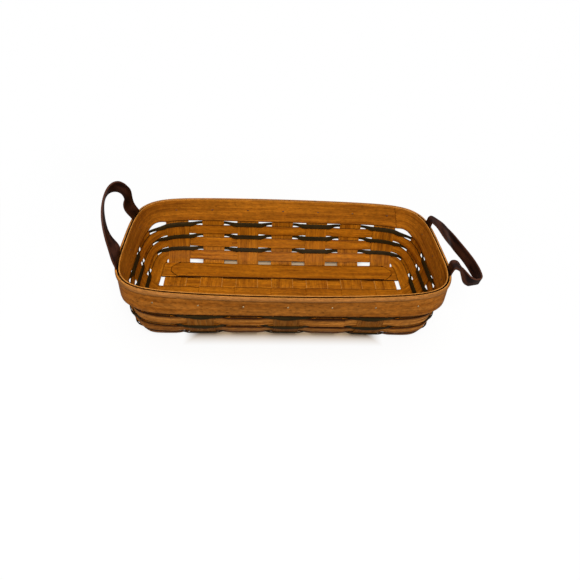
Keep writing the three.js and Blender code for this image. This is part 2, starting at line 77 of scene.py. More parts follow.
def length(name, description, millimetres):
    return FloatProperty(
        name=name, description=description, default=millimetres * MM, unit="LENGTH", precision=5)


def turn(name, description, degrees):
    return FloatProperty(name=name, description=description, default=math.radians(degrees), subtype="ANGLE")


def number(name, description, value):
    return FloatProperty(name=name, description=description, default=value)


def pair(name, description, values):
    return FloatVectorProperty(name=name, description=description, default=values, size=2)


def colour(name, description, srgb):
    return FloatVectorProperty(
        name=name, description=description, default=linear(srgb), size=3, subtype="COLOR")


# Settings

class WallSizes(bpy.types.PropertyGroup):
    """Shape of the wall: a tight foot bend, a wide belly bend, then straight to the rim."""
    floor_half_length: length("Floor half length", "From the centre to the end walls' bend", 153.6)
    floor_half_width: length("Floor half width", "From the centre to the side walls' bend", 60.2)
    foot_radius: length("Foot radius", "Radius of the tight bend at the floor", 6)
    foot_turn: turn("Foot turn", "How far the tight bend turns", 42)
    belly_radius: length("Belly radius", "Radius of the wide bend above the foot", 57)
    tilt: turn("Wall tilt", "Slope of the straight wall from the floor", 80)
    slant: length("Wall slant", "Length of the wall from its bend line to the rim", 92.6)
    floor_squareness: number("Floor squareness", "Plan exponent at the floor", 40)
    rim_squareness: pair("Rim squareness", "Plan exponents along X and Y at the rim", (10.5, 4))
    waist_squareness: pair("Waist squareness", "Plan exponents along X and Y below the rim", (8, 4))
    corner_rise: length("Corner rise", "Slant length by which the corners are as round as at the rim", 45)
    foot_bow: number("Foot bow", "Share by which the floor's long sides are drawn in at their middle", 0.04)
    rim_bow: pair("Rim bow", "Shares drawn in near the corners at the rim's front and back", (0.105, 0.07))
    end_draw: length("End draw", "How much less the end walls lean out at the rim than the sides", 4.75)
    front_draw: number("Front draw", "Share by which the front wall leans out less at the rim", 0.032)


class WeaveSizes(bpy.types.PropertyGroup):
    """Splints of the floor, which turn up as stakes, and the weavers round them."""
    fit_gap: length("Fit gap", "Clearance between strips that lie on each other", 0.3)
    splint_thickness: length("Splint thickness", "Thickness of the floor splints and stakes", 1.2)
    splint_width: length("Splint width", "Width of the floor splints and stakes", 28.2)
    splint_pitch: length("Splint pitch", "Spacing of the floor splints", 45.7)
    stake_top: length("Stake top", "Slant length where the stakes end inside the rim", 85)
    level_fade: length("Level fade", "Slant length over which a low splint rises to the wall", 6.5)
    filler_width: length("Filler width", "Width of the strips between the long splints", 18.4)
    filler_half_length: length("Filler half length", "Half length of those strips", 148)
    runner_half_length: length("Runner half length", "Half length of the strips laid over the floor", 147.5)
    runner_shift: length("Runner shift", "How far those strips lie off the middle", 2)
    runner_clip: length("Runner clip", "Size of the clipped corners of those strips", 10)
    weaver_thickness: length("Weaver thickness", "Thickness of the wall's weavers", 1)
    top_line: length("Top line", "Slant length of the upper edge of the top dark weaver", 59.3)
    row_pitch: length("Row pitch", "Slant height of a dark and a wide weaver together", 17.5)
    end_drop: length("End drop", "How much lower the lowest weaver reaches along the ends", 4)
    accent_height: length("Accent height", "Height of a dark weaver on a stake", 5.8)
    accent_waist: length("Accent waist", "Height of a dark weaver where it slips out past a stake", 3.8)
    accent_room: length("Accent room", "Height that a row leaves to its dark weaver", 4.6)
    corner_dip: length("Corner dip", "How much lower the top dark weaver runs at the corners", 1.5)
    stake_sway: length("Stake sway", "How far the stiff wide weavers push the stakes in and out", 0.9)
    loose_edge: length("Loose edge", "How far a wide weaver's lower edge stands off outside a stake", 0.5)


class RimSizes(bpy.types.PropertyGroup):
    """Bands that clamp the stakes, the trim along the outer one, and the tacks."""
    clearance: length("Clearance", "From the stakes' middle to a band's face", 0.7)
    end_pocket: length("End pocket", "Extra room at the ends' top for the strap ends", 0.45)
    inner_foot: length("Inner band foot", "Slant length of the inner band's lower edge", 61.1)
    inner_top: length("Inner band top", "Slant length of the inner band's upper edge", 91.5)
    inner_thickness: length("Inner band thickness", "Thickness of the inner band", 1.2)
    outer_foot: length("Outer band foot", "Slant length of the outer band's lower edge", 62)
    outer_top: length("Outer band top", "Slant length of the outer band's upper edge", 91.3)
    foot_stand_off: length("Foot stand off", "How far the outer band's foot stands off the weavers", 1.1)
    outer_thickness: length("Outer band thickness", "Thickness of the outer band", 1.4)
    trim_centre: length("Trim centre", "Slant length of the trim's middle", 89.2)
    trim_half_height: length("Trim half height", "Half height of the trim", 2.6)
    trim_depth: length("Trim depth", "How far the trim stands out along the sides", 2.3)
    trim_end_depth: length("Trim end depth", "How far the trim stands out along the ends", 1.2)
    corner_lift: length("Corner lift", "How much higher the bands' lower edges are at the corners", 2.5)
    tack_height: length("Tack height", "Slant length of the tacks", 77)
    tack_radius: length("Tack radius", "Radius of a tack's head", 1.1)


class StrapSizes(bpy.types.PropertyGroup):
    """Leather straps, whose ends stand between the stakes and the outer band."""
    width: length("Strap width", "Width of the leather strap", 14)
    thickness: length("Strap thickness", "Thickness of the leather strap", 1.8)
    skive: number("Skive", "Share of the thickness to which the strap ends are pared down", 0.55)
    end_lean: length("Strap end lean", "How much further apart the two strap ends are at their feet", 7)
    end_foot: length("Strap end foot", "Slant length where a strap end starts", 66.6)
    end_top: length("Strap end top", "Slant length where a strap leaves the rim", 91.5)


class Finishes(bpy.types.PropertyGroup):
    """Colours of the basket's materials."""
    splint: colour("Splint", "Stained maple of the splints and weavers", "b1690f")
    splint_dark: colour("Splint grain", "Dark grain of the splints", "7c4105")
    outside: colour("Outside", "Wide weavers' outer faces, which are worn paler", "b87630")
    # Painted shade: the stakes' outer faces are darker for the shade they lie in
    stake_painted_shade: colour("Stake outside", "Stakes' outer faces, which lie in shade and dust", "8f5c25")
    # Paler cut edges, with a painted highlight where they catch the light
    bare_lit_edge: colour("Bare edge", "Edges that were rubbed bare of stain", "cf9146")
    # More stain in edges and seams, and painted shade there and under the outer band
    dark_edge: colour("Dark edge", "Edges and seams that hold more stain", "2c1203")
    band: colour("Band", "Stained maple of the two rim bands", "bb7119")
    band_outside: colour("Band outside", "Outer face of the outer band, which is worn duller", "a16221")
    # The bands' upper edge: paler, with a painted highlight
    band_lit_edge: colour("Band edge", "Rubbed upper edge of the rim bands", "b97a34")
    band_dark: colour("Band grain", "Dark grain of the rim bands", "84480c")
    # Dark as painted shade in the groove between the bands, and under the trim
    lining: colour("Lining", "Faces of the rim bands that are turned to each other", "4a2406")
    trim: colour("Trim", "Paler maple of the half round trim", "a66c34")
    trim_dark: colour("Trim grain", "Dark grain of the trim", "905a26")
    accent: colour("Accent", "Dark green dye of the narrow weavers", "36270d")
    accent_dark: colour("Accent grain", "Dark grain of the narrow weavers", "201808")
    leather: colour("Leather", "Waxed brown strap leather", "1c0d09")
    # Also a painted highlight along the strap's edges
    leather_worn: colour("Leather wear", "Leather where it is rubbed", "5c3320")
    tack: colour("Tack", "Aged brass of the tacks", "d8c294")
    tarnish: colour("Tarnish", "Brown tarnish of the tacks", "3c2008")
    ground: colour("Ground", "Pale floor round the basket", "f4f3f1")
    # Painted shade under the basket, warm like the wood
    ground_shade: colour("Ground shade", "Floor under the basket, which takes the wood's colour", "bfa789")


# Counts and steps of the weave

CROSS_NUMBERS = [-3, -2, -1, 0, 1, 2, 3]
LONG_ROWS = {"front": -1, "middle": 0, "back": 1}
WEAVER_ROWS = 3
CORNER_LENGTH = 36 * MM
RING_STEP = 2.2 * MM
FLOOR_STEP = 1.1 * MM

# Smallest differences: of a point from a cut, of a column from a whole one, and of two points of a curve

CUT_TOLERANCE = 1e-7
WHOLE_COLUMN = 1e-6
LEAST_STEP = 1e-9

# Columns up a stake: close together in its foot bend and its belly bend, wider apart above

FOOT_COLUMNS = 7
FOOT_COLUMN = 0.7 * MM
BELLY_COLUMNS = 10
BELLY_COLUMN = 1.9 * MM
STRAIGHT_FOOT = 24 * MM
STRAIGHT_COLUMNS = 20

# Slant lengths between which the plan turns to the rim's, and a stake's sway comes in and fades out

RIM_PLAN = (56 * MM, 68 * MM)
SWAY_IN = (0, 10 * MM)
SWAY_OUT = (50 * MM, 62 * MM)

# Bows of the plan: the heights between which each fades out or comes in, and how far along X it reaches

FLOOR_BOW_OUT = (4 * MM, 40 * MM)
FLOOR_BOW_REACH = 145 * MM
RIM_BOW_IN = (50 * MM, 90 * MM)
RIM_BOW_REACH = 165 * MM
RIM_BOW_POWER = 2.2
FRONT_DRAW_HEIGHT = 86 * MM

# Corners of the plan: how fast they turn round above the floor, and the search for a point along a ray

CORNER_POWER = 0.7
CORNER_INSET = 15 * MM
CORNER_SEARCH = (0.5, 2.5)
CORNER_HALVINGS = 24

# Hand split wood: size and amount of each strip's unevenness

RIPPLES = {
    "splint": (18 * MM, 0.06 * MM),
    "filler": (25 * MM, 0.12 * MM),
    "runner": (30 * MM, 0.05 * MM),
    "ring": (14 * MM, 0.07 * MM),
}
LAID_GAP = 0.05 * MM
SPLINT_ROUNDING = 0.22 * MM
SPLINT_ROWS = 8

# A stake's outer face gets a painted shadow of the outer band between these heights; a splint's pale edges,
# with their painted highlight, show fully only on the floor, near the basket's middle

BAND_SHADE = (47 * MM, 51 * MM)
BARE_LIT_EDGE_REACH = 32 * MM
BARE_LIT_EDGE_HEIGHT = 5 * MM
COVERED_EDGE = 0.9

# How many times as deep the outer band's pocket for a strap end is at its foot as at the rim

POCKET_FOOT = 4

# Lengths once round the basket, in metres, for the grain

WEAVER_RUN = 0.99
BAND_RUN = 1.05
TRIM_RUN = 1.06


# Shape of the wall

Spot = namedtuple("Spot", "kind along sign_x sign_y")
Stop = namedtuple("Stop", "spot phase end_share")
Lap = namedtuple("Lap", "start overlap ramp stand_off clip", defaults=[0])


def clamped(value):
    return min(max(value, 0), 1)


def smooth(value, low=0.0, high=1.0):
    share = clamped((value - low) / (high - low))
    return share * share * (3 - 2 * share)


def mix(a, b, share):
    return a + (b - a) * share


def low_level():
    return bpy.context.scene.basket_weave.splint_thickness / 2


def high_level():
    weave = bpy.context.scene.basket_weave
    return low_level() + weave.splint_thickness + weave.fit_gap


def wall_profile(slant):
    """How far the wall has moved out and up at a slant length, and how steep it is."""
    wall = bpy.context.scene.basket_wall
    foot_length = wall.foot_radius * wall.foot_turn
    if slant < foot_length:
        angle = slant / wall.foot_radius
        return wall.foot_radius * math.sin(angle), wall.foot_radius * (1 - math.cos(angle)), angle
    belly_length = wall.belly_radius * (wall.tilt - wall.foot_turn)
    angle = min(wall.foot_turn + (slant - foot_length) / wall.belly_radius, wall.tilt)
    straight = max(slant - foot_length - belly_length, 0)
    out = wall.foot_radius * math.sin(wall.foot_turn)
    out += wall.belly_radius * (math.sin(angle) - math.sin(wall.foot_turn)) + straight * math.cos(wall.tilt)
    up = wall.foot_radius * (1 - math.cos(wall.foot_turn))
    up += wall.belly_radius * (math.cos(wall.foot_turn) - math.cos(angle)) + straight * math.sin(wall.tilt)
    return out, up, angle


def wall_plan(slant):
    """Half sizes and exponents of the wall's plan, a superellipse, at a slant length."""
    wall = bpy.context.scene.basket_wall
    out = wall_profile(slant)[0]
    roundness = clamped(slant / wall.corner_rise) ** CORNER_POWER
    under_band = smooth(slant, *RIM_PLAN)
    powers = []
    for waist, rim in zip(wall.waist_squareness, wall.rim_squareness):
        upper = mix(1 / waist, 1 / rim, under_band)
        powers.append(1 / mix(1 / wall.floor_squareness, upper, roundness))
    half_length = wall.floor_half_length + out - wall.end_draw * clamped(slant / wall.slant)
    return half_length, wall.floor_half_width + out, *powers


def stake_edges():
    """Where the last stakes of a side and of an end have their outer edges."""
    weave = bpy.context.scene.basket_weave
    half = weave.splint_width / 2
    return CROSS_NUMBERS[-1] * weave.splint_pitch + half, weave.splint_pitch + half


def plan_point(spot, plan):
    """Where a spot lies on a plan. In a corner it is found by halving, along a ray from inside it."""
    a, b, n, m = plan
    if spot.kind == "side":
        return spot.along, spot.sign_y * b * (1 - abs(spot.along / a) ** n) ** (1 / m)
    if spot.kind == "end":
        return spot.sign_x * a * (1 - abs(spot.along / b) ** m) ** (1 / n), spot.along
    edge_x, edge_y = stake_edges()
    side = Vector((edge_x, b * (1 - (edge_x / a) ** n) ** (1 / m)))
    end = Vector((a * (1 - (edge_y / b) ** m) ** (1 / n), edge_y))
    centre = Vector((edge_x, edge_y)) - Vector((CORNER_INSET, CORNER_INSET))
    ray = side.lerp(end, spot.along) - centre
    near, far = CORNER_SEARCH
    for _ in range(CORNER_HALVINGS):
        reach = (near + far) / 2
        point = centre + reach * ray
        if (point.x / a) ** n + (point.y / b) ** m < 1:
            near = reach
        else:
            far = reach
    return spot.sign_x * point.x, spot.sign_y * point.y


def wall_point(spot, slant, offset):
    """Point of the wall at a spot and slant length, moved outwards along the wall's normal."""
    plan = wall_plan(slant)
    a, b, n, m = plan
    _, up, angle = wall_profile(slant)
    x, y = plan_point(spot, plan)
    normal = Vector((
        math.copysign(n * abs(x / a) ** (n - 1) / a, x),
        math.copysign(m * abs(y / b) ** (m - 1) / b, y),
    )).normalized()
    across = offset * math.sin(angle)
    height = high_level() + up - offset * math.cos(angle)
    return Vector((x + normal.x * across, y + normal.y * across, height))


def stake_sway(slant):
    """How far a stake is pushed out of the wall's middle, or in, at a slant length."""
    weave = bpy.context.scene.basket_weave
    return weave.stake_sway * smooth(slant, *SWAY_IN) * (1 - smooth(slant, *SWAY_OUT))


def bowed(point):
    """Point moved in as the hand made basket is: its floor bows in at the middle of its long sides,
    its rim bows out there, and its front wall leans out a little less than its back wall."""
    wall = bpy.context.scene.basket_wall
    front = point.y < 0
    middle = max(1 - (point.x / FLOOR_BOW_REACH) ** 2, 0)
    share = wall.foot_bow * middle * (1 - smooth(point.z, *FLOOR_BOW_OUT))
    rim_bow = wall.rim_bow[0] if front else wall.rim_bow[1]
    share += rim_bow * smooth(point.z, *RIM_BOW_IN) * abs(point.x / RIM_BOW_REACH) ** RIM_BOW_POWER
    share += wall.front_draw * clamped(point.z / FRONT_DRAW_HEIGHT) * front
    return Vector((point.x, point.y * (1 - share), point.z))


# Weave of the floor and of the wall

def is_outer_pair(number):
    """True for the first, third, fifth and last cross splints, which pass under the long splints."""
    return number % 2 == 1


def cross_phase(number):
    return -1 if is_outer_pair(number) else 1


def long_phase(row):
    return -1 if row == 0 else 1


def crossing(along, stakes, half):
    """Phase at a place along a row of stakes, each a centre and a phase of 1 or -1, and between them."""
    for (here, phase), (after, _) in zip(stakes, stakes[1:]):
        share = (along - here - half) / (after - here - 2 * half)
        if 0 < share < 1:
            return phase * math.cos(math.pi * share)
    return min(stakes, key=lambda stake: abs(stake[0] - along))[1]


def ring_stops():
    """Stops all round the wall, anticlockwise from the front left, about a ring step apart.
    A phase of 1 puts a dark weaver outside its stake and -1 inside."""
    weave = bpy.context.scene.basket_weave
    half = weave.splint_width / 2
    edge_x, edge_y = stake_edges()
    side = [(number * weave.splint_pitch, cross_phase(number)) for number in CROSS_NUMBERS]
    end = [(row * weave.splint_pitch, long_phase(row)) for row in LONG_ROWS.values()]
    quarters = [
        ("side", side, edge_x, 1, (1, -1)),
        ("end", end, edge_y, 1, (1, 1)),
        ("side", side, edge_x, -1, (-1, 1)),
        ("end", end, edge_y, -1, (-1, -1)),
    ]
    stops = []
    for kind, stakes, edge, direction, corner in quarters:
        signs = (direction, 0) if kind == "end" else (0, -direction)
        count = round(2 * edge / RING_STEP)
        for i in range(count):
            along = direction * mix(-edge, edge, i / count)
            phase = crossing(along, stakes, half)
            stops.append(Stop(Spot(kind, along, *signs), phase, float(kind == "end")))
        count = round(CORNER_LENGTH / RING_STEP)
        for i in range(count):
            share = i / count
            along = share if kind == "side" else 1 - share
            phase = stakes[-1][1] * math.cos(math.pi * share)
            stops.append(Stop(Spot("corner", along, *corner), phase, smooth(along)))
    return stops


def corner_share(stop):
    """1 in the middle of a corner, 0 along the sides and ends."""
    return math.sin(math.pi * stop.spot.along) if stop.spot.kind == "corner" else 0


def outer_face(end_share, share):
    """Distance of the outer band's face from the stakes' middle, at a share of its height. At the ends it
    leaves room for the straps, which lie on a stake below and so need more of it there than at the rim."""
    rim = bpy.context.scene.basket_rim
    pocket = rim.end_pocket * end_share * mix(POCKET_FOOT, 1, share)
    return rim.clearance + pocket + rim.outer_thickness + rim.foot_stand_off * (1 - share)


def stop_near(stops, kind, sign_y, along):
    """Index of the stop on a wall or in a corner nearest to a place along it."""
    here = [i for i, stop in enumerate(stops) if stop.spot.kind == kind and stop.spot.sign_y == sign_y]
    return min(here, key=lambda i: abs(stops[i].spot.along - along))


# Making of pieces

GRAIN_SHIFT = 3
TONE_STEP = 0.6180339887
ROUNDED_ANGLE = math.radians(50)


def bend_strip(name, columns, rows, place, size, material, tone, shape=bowed):
    """Flat strip, a grid of columns by rows, bent by place(column, row) and then moved by shape(point).
    Its UV map holds distances along and across it, in metres, shifted along by its tone. Its edge attribute
    is -1 on its first edge, which is the lower one of a ring, and 1 on its last, and its along attribute
    runs from 0 to 1 over its length."""
    bm = bmesh.new()
    bmesh.ops.create_grid(bm, x_segments=columns, y_segments=rows, size=0.5)
    uv = bm.loops.layers.uv.new("strip")
    edge = bm.verts.layers.float.new("edge")
    along = bm.verts.layers.float.new("along")
    tones = bm.verts.layers.float.new("tone")
    shift = GRAIN_SHIFT * tone
    for face in bm.faces:
        for corner in face.loops:
            flat = corner.vert.co
            corner[uv].uv = ((flat.x + 0.5 + shift) * size[0], (flat.y + 0.5) * size[1])
    for vert in bm.verts:
        vert[edge] = 2 * vert.co.y
        vert[along] = vert.co.x + 0.5
        vert[tones] = tone
        vert.co = shape(place((vert.co.x + 0.5) * columns, (vert.co.y + 0.5) * rows))
    return piece_from(bm, name, material)


def piece_from(bm, name, material):
    mesh = bpy.data.meshes.new(name)
    bm.to_mesh(mesh)
    bm.free()
    for polygon in mesh.polygons:
        polygon.use_smooth = True
    mesh.materials.append(material)
    piece = bpy.data.objects.new(name, mesh)
    bpy.context.scene.collection.objects.link(piece)
    return piece


def thicken(piece, thickness, rounding, segments=2, materials=(), rim=0, shares=None):
    """Gives a strip its thickness and rounds its edges, as finished mesh.
    Two materials, if given, go on its outer and inner faces, and rim tells which of them goes on its edges.
    shares(along), if given, is the share of the thickness at each place along the strip."""
    solid = piece.modifiers.new("thickness", "SOLIDIFY")
    if shares:
        group = piece.vertex_groups.new(name="thickness")
        for index, place in enumerate(piece.data.attributes["along"].data):
            group.add([index], shares(place.value), "REPLACE")
        solid.vertex_group = group.name
    if materials:
        piece.data.materials.clear()
        for material in materials:
            piece.data.materials.append(material)
        solid.material_offset = 1
        solid.material_offset_rim = rim
    solid.thickness = thickness
    solid.offset = 0
    solid.use_even_offset = False
    bevel = piece.modifiers.new("rounding", "BEVEL")
    bevel.width = rounding
    bevel.segments = segments
    bevel.limit_method = "ANGLE"
    bevel.angle_limit = ROUNDED_ANGLE
    bpy.context.view_layer.update()
    graph = bpy.context.evaluated_depsgraph_get()
    mesh = bpy.data.meshes.new_from_object(
        piece.evaluated_get(graph), preserve_all_data_layers=True, depsgraph=graph)
    piece.modifiers.clear()
    old = piece.data
    piece.data = mesh
    bpy.data.meshes.remove(old)
    mesh.name = piece.name
    return piece


def settle(piece, slot, *nodes):
    """Puts a finished piece on the basket in place of the nodes that it stands for."""
    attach(piece, "basket")
    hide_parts(*nodes)


def tone_of(name):
    """Steady shade of one piece, from -0.5 to 0.5, taken from its name."""
    seed = sum((i + 1) * ord(letter) for i, letter in enumerate(name))
    return ((seed * TONE_STEP) % 1) - 0.5


def ripple(point, kind):
    """Small unevenness of hand split wood at a point of one kind of strip."""
    size, amount = RIPPLES[kind]
    return amount * noise.noise(point / size)


# Materials

# Wood's patterns: sizes in millimetres along and across the strip, and the noise's detail and roughness

WOOD_PATTERNS = {
    "fibres": (45, 1.1, 4, 0.6),
    "bands": (160, 7, 2, 0.5),
    "flecks": (5, 1.2, 1, 0.4),
    "mottle": (7, 4, 3, 0.6),
    "blotches": (40, 22, 2, 0.5),
}

# Leather's patterns: kind of texture, sizes in millimetres along and across the strap, and its detail

LEATHER_PATTERNS = {
    "pebbles": ("ShaderNodeTexVoronoi", 1.1, 1.1, 0),
    "creases": ("ShaderNodeTexNoise", 2.5, 9, 4),
    "clouds": ("ShaderNodeTexNoise", 18, 9, 3),
}


def add_node(tree, kind, inputs=None, links=None, **settings):
    """Adds a node, sets its settings and input values, and links its inputs to other sockets.
    A node that is given as a link stands for its first output in use."""
    node = tree.nodes.new(kind)
    for name, value in settings.items():
        setattr(node, name, value)
    for name, value in (inputs or {}).items():
        node.inputs[name].default_value = value
    for name, source in (links or {}).items():
        if isinstance(source, bpy.types.Node):
            source = next(socket for socket in source.outputs if socket.enabled)
        tree.links.new(source, node.inputs[name])
    return node


def new_material(name):
    material = bpy.data.materials.new(name)
    material.use_nodes = True
    material.node_tree.nodes.clear()
    return material, material.node_tree


def per_metre(*sizes_mm):
    """Mapping scale that makes one unit of a pattern as large as the sizes, in millimetres."""
    return [1 / (size * MM) for size in sizes_mm]


def wood(name, base, dark, roughness, low_edge, high_edge, wear=1.0, shade=None):
    """Stained maple splint, rotary cut and waxed: streaked along the strip, mottled and flecked, more so
    with wear. Each edge is a colour and the share of the half width where it starts, such as a paler cut
    with a painted highlight, or more stain with painted shade. shade, if given, is the colour of a painted
    shadow where the shade attribute is 1. Real fibres are finer than a pixel here, so they are drawn about 1
    mm wide to show."""
    found = bpy.data.materials.get(name)
    if found:
        return found
    material, tree = new_material(name)
    place = add_node(tree, "ShaderNodeUVMap", uv_map="strip")
    tone = add_node(tree, "ShaderNodeAttribute", attribute_name="tone").outputs["Fac"]
    edge = add_node(tree, "ShaderNodeAttribute", attribute_name="edge").outputs["Fac"]
    looks = {}
    for pattern, (along, across, detail, rough) in WOOD_PATTERNS.items():
        scale = (*per_metre(along, across), 1)
        scaled = add_node(tree, "ShaderNodeMapping", {"Scale": scale}, {"Vector": place})
        values = {"Scale": 1.0, "Detail": detail, "Roughness": rough}
        looks[pattern] = add_node(tree, "ShaderNodeTexNoise", values, {"Vector": scaled})
    streaks = {"A": looks["fibres"], "B": looks["bands"]}
    grain = add_node(tree, "ShaderNodeMix", {"Factor": 0.45}, streaks, data_type="FLOAT")

    # Each layer has a colour, what brings it in, where it starts and is full, and its greatest share
    layers = [
        (base, grain, 0.38, 0.6, 1),
        ([0.4 * part for part in dark], looks["flecks"], 0.62, 0.74, min(0.55 * wear, 1)),
        (low_edge[0], edge, -low_edge[1], -1, 1),
        (high_edge[0], edge, high_edge[1], 1, 1),
    ]
    # The shade layer paints the outer band's shadow
    if shade:
        shaded = add_node(tree, "ShaderNodeAttribute", attribute_name="shade").outputs["Fac"]
        layers.append((shade, shaded, 0, 1, 1))
    under = {}
    for over, value, start, full, most in layers:
        limits = {"From Min": start, "From Max": full, "To Max": most}
        share = add_node(tree, "ShaderNodeMapRange", limits, {"Value": value})
        colours = {"A": (*dark, 1), "B": (*over, 1)}
        tint = add_node(tree, "ShaderNodeMix", colours, {"Factor": share, **under}, data_type="RGBA")
        under = {"A": tint}

    # Each level has what drives it, where it starts and is full, and how bright the wood is at either
    spread = 0.22 * wear
    levels = [
        (looks["blotches"], 0.3, 0.7, 0.88, 1.1),
        (looks["mottle"], 0.3, 0.7, 1 - spread, 1 + spread),
        (tone, -0.5, 0.5, 0.88, 1.1),
    ]
    before = {}
    for value, start, full, least, most in levels:
        limits = {"From Min": start, "From Max": full, "To Min": least, "To Max": most}
        share = add_node(tree, "ShaderNodeMapRange", limits, {"Value": value})
        level = add_node(tree, "ShaderNodeMath", {0: 1.0}, {1: share, **before}, operation="MULTIPLY")
        before = {0: level}
    toned = add_node(tree, "ShaderNodeHueSaturation", None, {"Color": tint, "Value": level})
    bump = add_node(tree, "ShaderNodeBump", {"Strength": 0.35, "Distance": 0.12 * MM}, {"Height": grain})
    limits = {"From Min": 0.3, "From Max": 0.7, "To Min": roughness + 0.08, "To Max": roughness - 0.06}
    gloss = add_node(tree, "ShaderNodeMapRange", limits, {"Value": looks["fibres"]})
    shader = add_node(
        tree, "ShaderNodeBsdfPrincipled", {"IOR": 1.5, "Specular IOR Level": 0.06},
        {"Base Color": toned, "Normal": bump, "Roughness": gloss})
    add_node(tree, "ShaderNodeOutputMaterial", None, {"Surface": shader})
    return material


def finish_of(kind):
    """The wood of one kind of strip, in the colours of the settings, with its lower and upper edge."""
    hues = bpy.context.scene.basket_finishes
    maple = hues.splint, hues.splint_dark, 0.52
    # bare: paler cut edges with a painted highlight; stained: more stain, with painted shade
    bare, stained = (hues.bare_lit_edge, 0.95), (hues.dark_edge, 0.88)
    # Painted shade on the wide weavers' outer faces: at the lower seam, and broadly from the upper edge
    low_seam_shade, high_seam_shade = (hues.dark_edge, 0.8), (hues.dark_edge, 0.38)
    # rubbed: the bands' paler top edge with a painted highlight; shadow: painted shadow under the trim
    rubbed, dyed, shadow = (hues.band_lit_edge, 0.97), (hues.accent_dark, 0.85), (hues.lining, 0.34)
    # Each kind has its material's name, its colour, its grain's colour, its roughness and its two edges,
    # and where they aren't the usual ones its wear and its shade
    kinds = {
        "cross": ("stained_maple_splint", *maple, bare, bare),
        # Painted shade: a darker copy for the stakes' outer faces, with the outer band's painted shadow
        "cross_shaded_outside": (
            "stained_maple_splint_outside", hues.stake_painted_shade, hues.splint_dark, 0.55,
            stained, stained, 1.4, hues.dark_edge),
        "strip": ("stained_maple_strip", *maple, stained, stained),
        "weaver": ("stained_maple_weaver", *maple, stained, stained),
        "weaver_outside": (
            "stained_maple_weaver_outside", hues.outside, hues.splint_dark, 0.52, low_seam_shade, high_seam_shade, 1.5),
        "band": ("stained_maple_band", hues.band, hues.band_dark, 0.5, stained, rubbed),
        "band_outside": (
            "stained_maple_band_outside", hues.band_outside, hues.band_dark, 0.5, stained, rubbed, 1.6),
        # Faces between the bands, dark as their groove's painted shade
        "lining": ("maple_lining", hues.lining, hues.lining, 0.7, stained, stained),
        "trim": ("pale_maple_half_round", hues.trim, hues.trim_dark, 0.46, shadow, stained, 1.4),
        "accent": ("green_dyed_maple", hues.accent, hues.accent_dark, 0.55, dyed, dyed),
    }
    return wood(*kinds[kind])


def strap_leather():
    """Vegetable tanned strap leather, waxed: fine pebbled grain, cloudy, paler along its rubbed edges,
    where a painted highlight is added too.
    """
    hues = bpy.context.scene.basket_finishes
    material, tree = new_material("waxed_strap_leather")
    place = add_node(tree, "ShaderNodeUVMap", uv_map="strip")
    signed = add_node(tree, "ShaderNodeAttribute", attribute_name="edge").outputs["Fac"]
    edge = add_node(tree, "ShaderNodeMath", None, {0: signed}, operation="ABSOLUTE")
    looks = {}
    for pattern, (kind, along, across, detail) in LEATHER_PATTERNS.items():
        scale = (*per_metre(along, across), 1)
        scaled = add_node(tree, "ShaderNodeMapping", {"Scale": scale}, {"Vector": place})
        looks[pattern] = add_node(tree, kind, {"Scale": 1.0, "Detail": detail}, {"Vector": scaled})
    # Rubbed edges: wear, and a painted highlight
    limits = {"From Min": 0.8, "From Max": 1.0, "To Max": 0.55}
    rubbed = add_node(tree, "ShaderNodeMapRange", limits, {"Value": edge})
    limits = {"From Min": 0.42, "From Max": 0.7, "To Max": 0.6}
    cloudy = add_node(tree, "ShaderNodeMapRange", limits, {"Value": looks["clouds"]})
    wear = add_node(tree, "ShaderNodeMath", None, {0: rubbed, 1: cloudy}, operation="MAXIMUM")
    colours = {"A": (*hues.leather, 1), "B": (*hues.leather_worn, 1)}
    tint = add_node(tree, "ShaderNodeMix", colours, {"Factor": wear}, data_type="RGBA")
    heights = {"A": looks["pebbles"], "B": looks["creases"]}
    height = add_node(tree, "ShaderNodeMix", {"Factor": 0.5}, heights, data_type="FLOAT")
    bump = add_node(tree, "ShaderNodeBump", {"Strength": 0.5, "Distance": 0.2 * MM}, {"Height": height})
    limits = {"To Min": 0.38, "To Max": 0.6}
    gloss = add_node(tree, "ShaderNodeMapRange", limits, {"Value": looks["creases"]})
    shader = add_node(
        tree, "ShaderNodeBsdfPrincipled", {"IOR": 1.48, "Specular IOR Level": 0.12},
        {"Base Color": tint, "Roughness": gloss, "Normal": bump})
    add_node(tree, "ShaderNodeOutputMaterial", None, {"Surface": shader})
    return material


